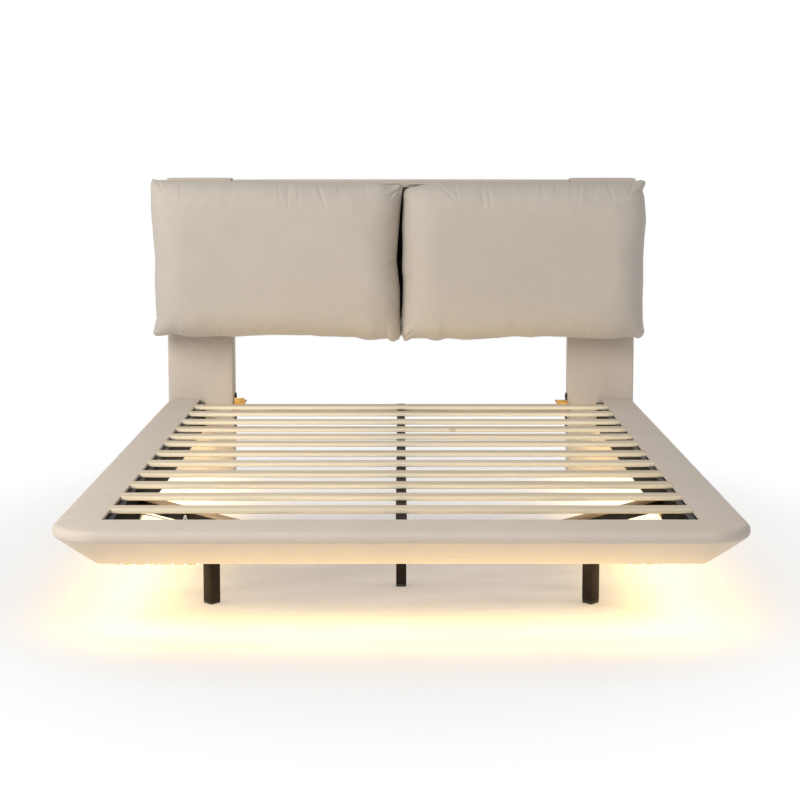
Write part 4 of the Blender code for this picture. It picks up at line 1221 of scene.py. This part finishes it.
class BED_OT_stage(bpy.types.Operator):
    """Set the camera, the floor, the soft lights and the strips' glow"""
    bl_idname = "bed.stage"
    bl_label = "Studio"

    def execute(self, context):
        scene = context.scene
        studio = scene.bed_studio
        self.camera(scene, scene.bed_camera)
        floor = self.floor(studio)
        self.world(scene, studio)
        self.lights(studio, floor)
        scene.view_settings.view_transform = "Standard"
        return {"FINISHED"}

    def camera(self, scene, settings):
        data = bpy.data.cameras.new("photo_camera")
        data.lens = settings.lens
        data.shift_y = settings.shift
        data.clip_end = 200
        camera = linked("photo_camera", data)
        camera.location = settings.place
        camera.rotation_euler = (math.pi / 2 - settings.tilt, 0, 0)
        scene.camera = camera

    def floor(self, studio):
        """A wide floor that glows softly by itself, has a painted shadow under the bed and fades
        to white.
        """
        bm = bmesh.new()
        bmesh.ops.create_grid(bm, x_segments=1, y_segments=1, size=FLOOR_REACH)
        mesh = mesh_from(bm, "studio_floor")
        made = Finish("studio_floor", Roughness=0.85, Specular_IOR_Level=0.1,
                      Emission_Strength=studio.floor_fill)
        place = made.coords()
        colour = tuple(studio.floor_colour)
        made.surface(made.ramp(made.noise(place, 3.0), (0.3, scaled(colour, 0.99)), (0.7, colour)))
        distance = self.shade_distance(made, place)
        # Painted shade of folds: near the bed the flat floor's glow is made lighter and darker in
        # long streaks, as a draped cloth would be lit
        folds = made.noise(made.coords((1.6, 5.0, 1.0)), 1.0, 3.0, 0.55, 0.8)
        painted_fold_shade = made.ramp(folds, (0.34, (0.76, 0.72, 0.66)), (0.62, (1.14, 1.14, 1.16)))
        near = made.ramp(distance, (0.15, (1.0, 1.0, 1.0)), (0.60, (0.0, 0.0, 0.0)))
        # Painted shadow: the floor's glow is darker and warmer the nearer it lies to the bed's
        # rectangle
        shade = made.ramp(distance, *SHADE_STOPS)
        made.feed("Emission Color", made.blend(near, shade, painted_fold_shade, "MULTIPLY"))
        reach = made.vector("LENGTH", made.stretched(place, FADE_SCALE), output="Value")
        far = made.add("ShaderNodeMapRange", {"interpolation_type": "SMOOTHSTEP"},
                       {"Value": reach, "From Min": FADE_START, "From Max": FADE_END})
        white = made.add("ShaderNodeEmission", {}, {"Strength": 1.0})
        mixed = made.add("ShaderNodeMixShader", {}, {
            0: far, 1: Wire(made, made.shader.outputs[0]), 2: white})
        output = made.tree.nodes["Material Output"]
        made.tree.links.new(mixed.socket, output.inputs["Surface"])
        mesh.materials.append(made.material)
        floor = linked("studio_floor", mesh)
        return floor

    def shade_distance(self, made, place):
        """Metres from the rectangle of painted shadow on the floor under the bed."""
        moved = made.add("ShaderNodeMapping", {}, {"Vector": place, "Location": SHADE_SHIFT})
        beyond = made.vector("SUBTRACT", made.vector("ABSOLUTE", moved), SHADE_HALF)
        outside = made.vector("MAXIMUM", beyond, (0.0, 0.0, 0.0))
        return made.vector("LENGTH", outside, output="Value")

    def world(self, scene, studio):
        """A soft sky, in front of which the camera sees a plain white backdrop."""
        world = bpy.data.worlds.new("studio_world")
        world.use_nodes = True
        tree = world.node_tree
        path, mixed, seen = (tree.nodes.new(f"ShaderNode{kind}")
                             for kind in ("LightPath", "MixShader", "Background"))
        sky = tree.nodes["Background"]
        for node, colour, strength in ((sky, SKY_COLOUR, studio.sky),
                                       (seen, BACKDROP_COLOUR, studio.backdrop)):
            node.inputs["Color"].default_value = colour
            node.inputs["Strength"].default_value = strength
        for place, source in enumerate((path.outputs["Is Camera Ray"], sky.outputs[0],
                                        seen.outputs[0])):
            tree.links.new(source, mixed.inputs[place])
        tree.links.new(mixed.outputs[0], tree.nodes["World Output"].inputs["Surface"])
        scene.world = world

    def lights(self, studio, floor):
        key = self.area("key_light", KEY_PLACE, KEY_TARGET, KEY_SIZE, studio.key, KEY_COLOUR)
        lit = bpy.data.collections.new("key_receivers")
        lit.objects.link(floor)
        lit.collection_objects[0].light_linking.link_state = "EXCLUDE"
        key.light_linking.receiver_collection = lit
        colour = tuple(studio.glow_colour)
        for side in ("foot", "left", "right"):
            low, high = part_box(f"{side}_light_strip")
            middle = (low + high) / 2
            size = high - low
            place = (middle.x, middle.y, low.z - GLOW_DROP)
            glow = self.area(f"{side}_glow", place, (middle.x, middle.y, 0.0),
                             (size.x, size.y), studio.glow * max(size.x, size.y), colour)
            glow.data.spread = studio.glow_spread
        for name, place, size, power, receivers in BOUNCES:
            lifted = self.area(name, place, (place[0], place[1] + 0.01, 1.0), size,
                               power * studio.bounce, BOUNCE_COLOUR)
            lit = bpy.data.collections.new(f"{name}_receivers")
            for receiver in receivers:
                lit.objects.link(bpy.data.objects[receiver])
            lifted.light_linking.receiver_collection = lit

    def area(self, name, place, target, size, power, colour):
        data = bpy.data.lights.new(name, "AREA")
        data.shape = "RECTANGLE"
        data.size = size[0]
        data.size_y = size[1]
        data.energy = power
        data.color = colour
        light = linked(name, data)
        light.location = place
        way = Vector(target) - Vector(place)
        if abs(way.x) + abs(way.y) > 1e-6:
            light.rotation_mode = "QUATERNION"
            light.rotation_quaternion = way.to_track_quat("-Z", "Y")
        return light


class BED_OT_finishes(bpy.types.Operator):
    """Make the materials of the bed"""
    bl_idname = "bed.finishes"
    bl_label = "Finishes"

    def execute(self, context):
        make_finishes(context.scene.bed_velvet, tuple(context.scene.bed_studio.glow_colour))
        return {"FINISHED"}


class BED_PT_panel(bpy.types.Panel):
    """Lists the steps that dress the bed"""
    bl_idname = "BED_PT_panel"
    bl_label = "Platform bed"
    bl_space_type = "VIEW_3D"
    bl_region_type = "UI"
    bl_category = "Bed"

    def draw(self, context):
        for step in STEPS:
            self.layout.operator(step.bl_idname)


STEPS = (BED_OT_finishes, BED_OT_rails, BED_OT_headboard, BED_OT_slats, BED_OT_frame,
         BED_OT_light, BED_OT_cushions, BED_OT_stage)
SETTINGS = (("bed_camera", BedCameraSettings), ("bed_studio", BedStudioSettings),
            ("bed_velvet", BedVelvetSettings), ("bed_rails", BedRailSettings),
            ("bed_slats", BedSlatSettings), ("bed_cushions", BedCushionSettings))


def register():
    for name, group in SETTINGS:
        bpy.utils.register_class(group)
        setattr(bpy.types.Scene, name, PointerProperty(type=group))
    for step in STEPS:
        bpy.utils.register_class(step)
    bpy.utils.register_class(BED_PT_panel)


def unregister():
    bpy.utils.unregister_class(BED_PT_panel)
    for step in reversed(STEPS):
        bpy.utils.unregister_class(step)
    for name, group in reversed(SETTINGS):
        delattr(bpy.types.Scene, name)
        bpy.utils.unregister_class(group)


def main():
    register()
    for step in STEPS:
        group, name = step.bl_idname.split(".")
        getattr(getattr(bpy.ops, group), name)()


if __name__ == "__main__":
    main()
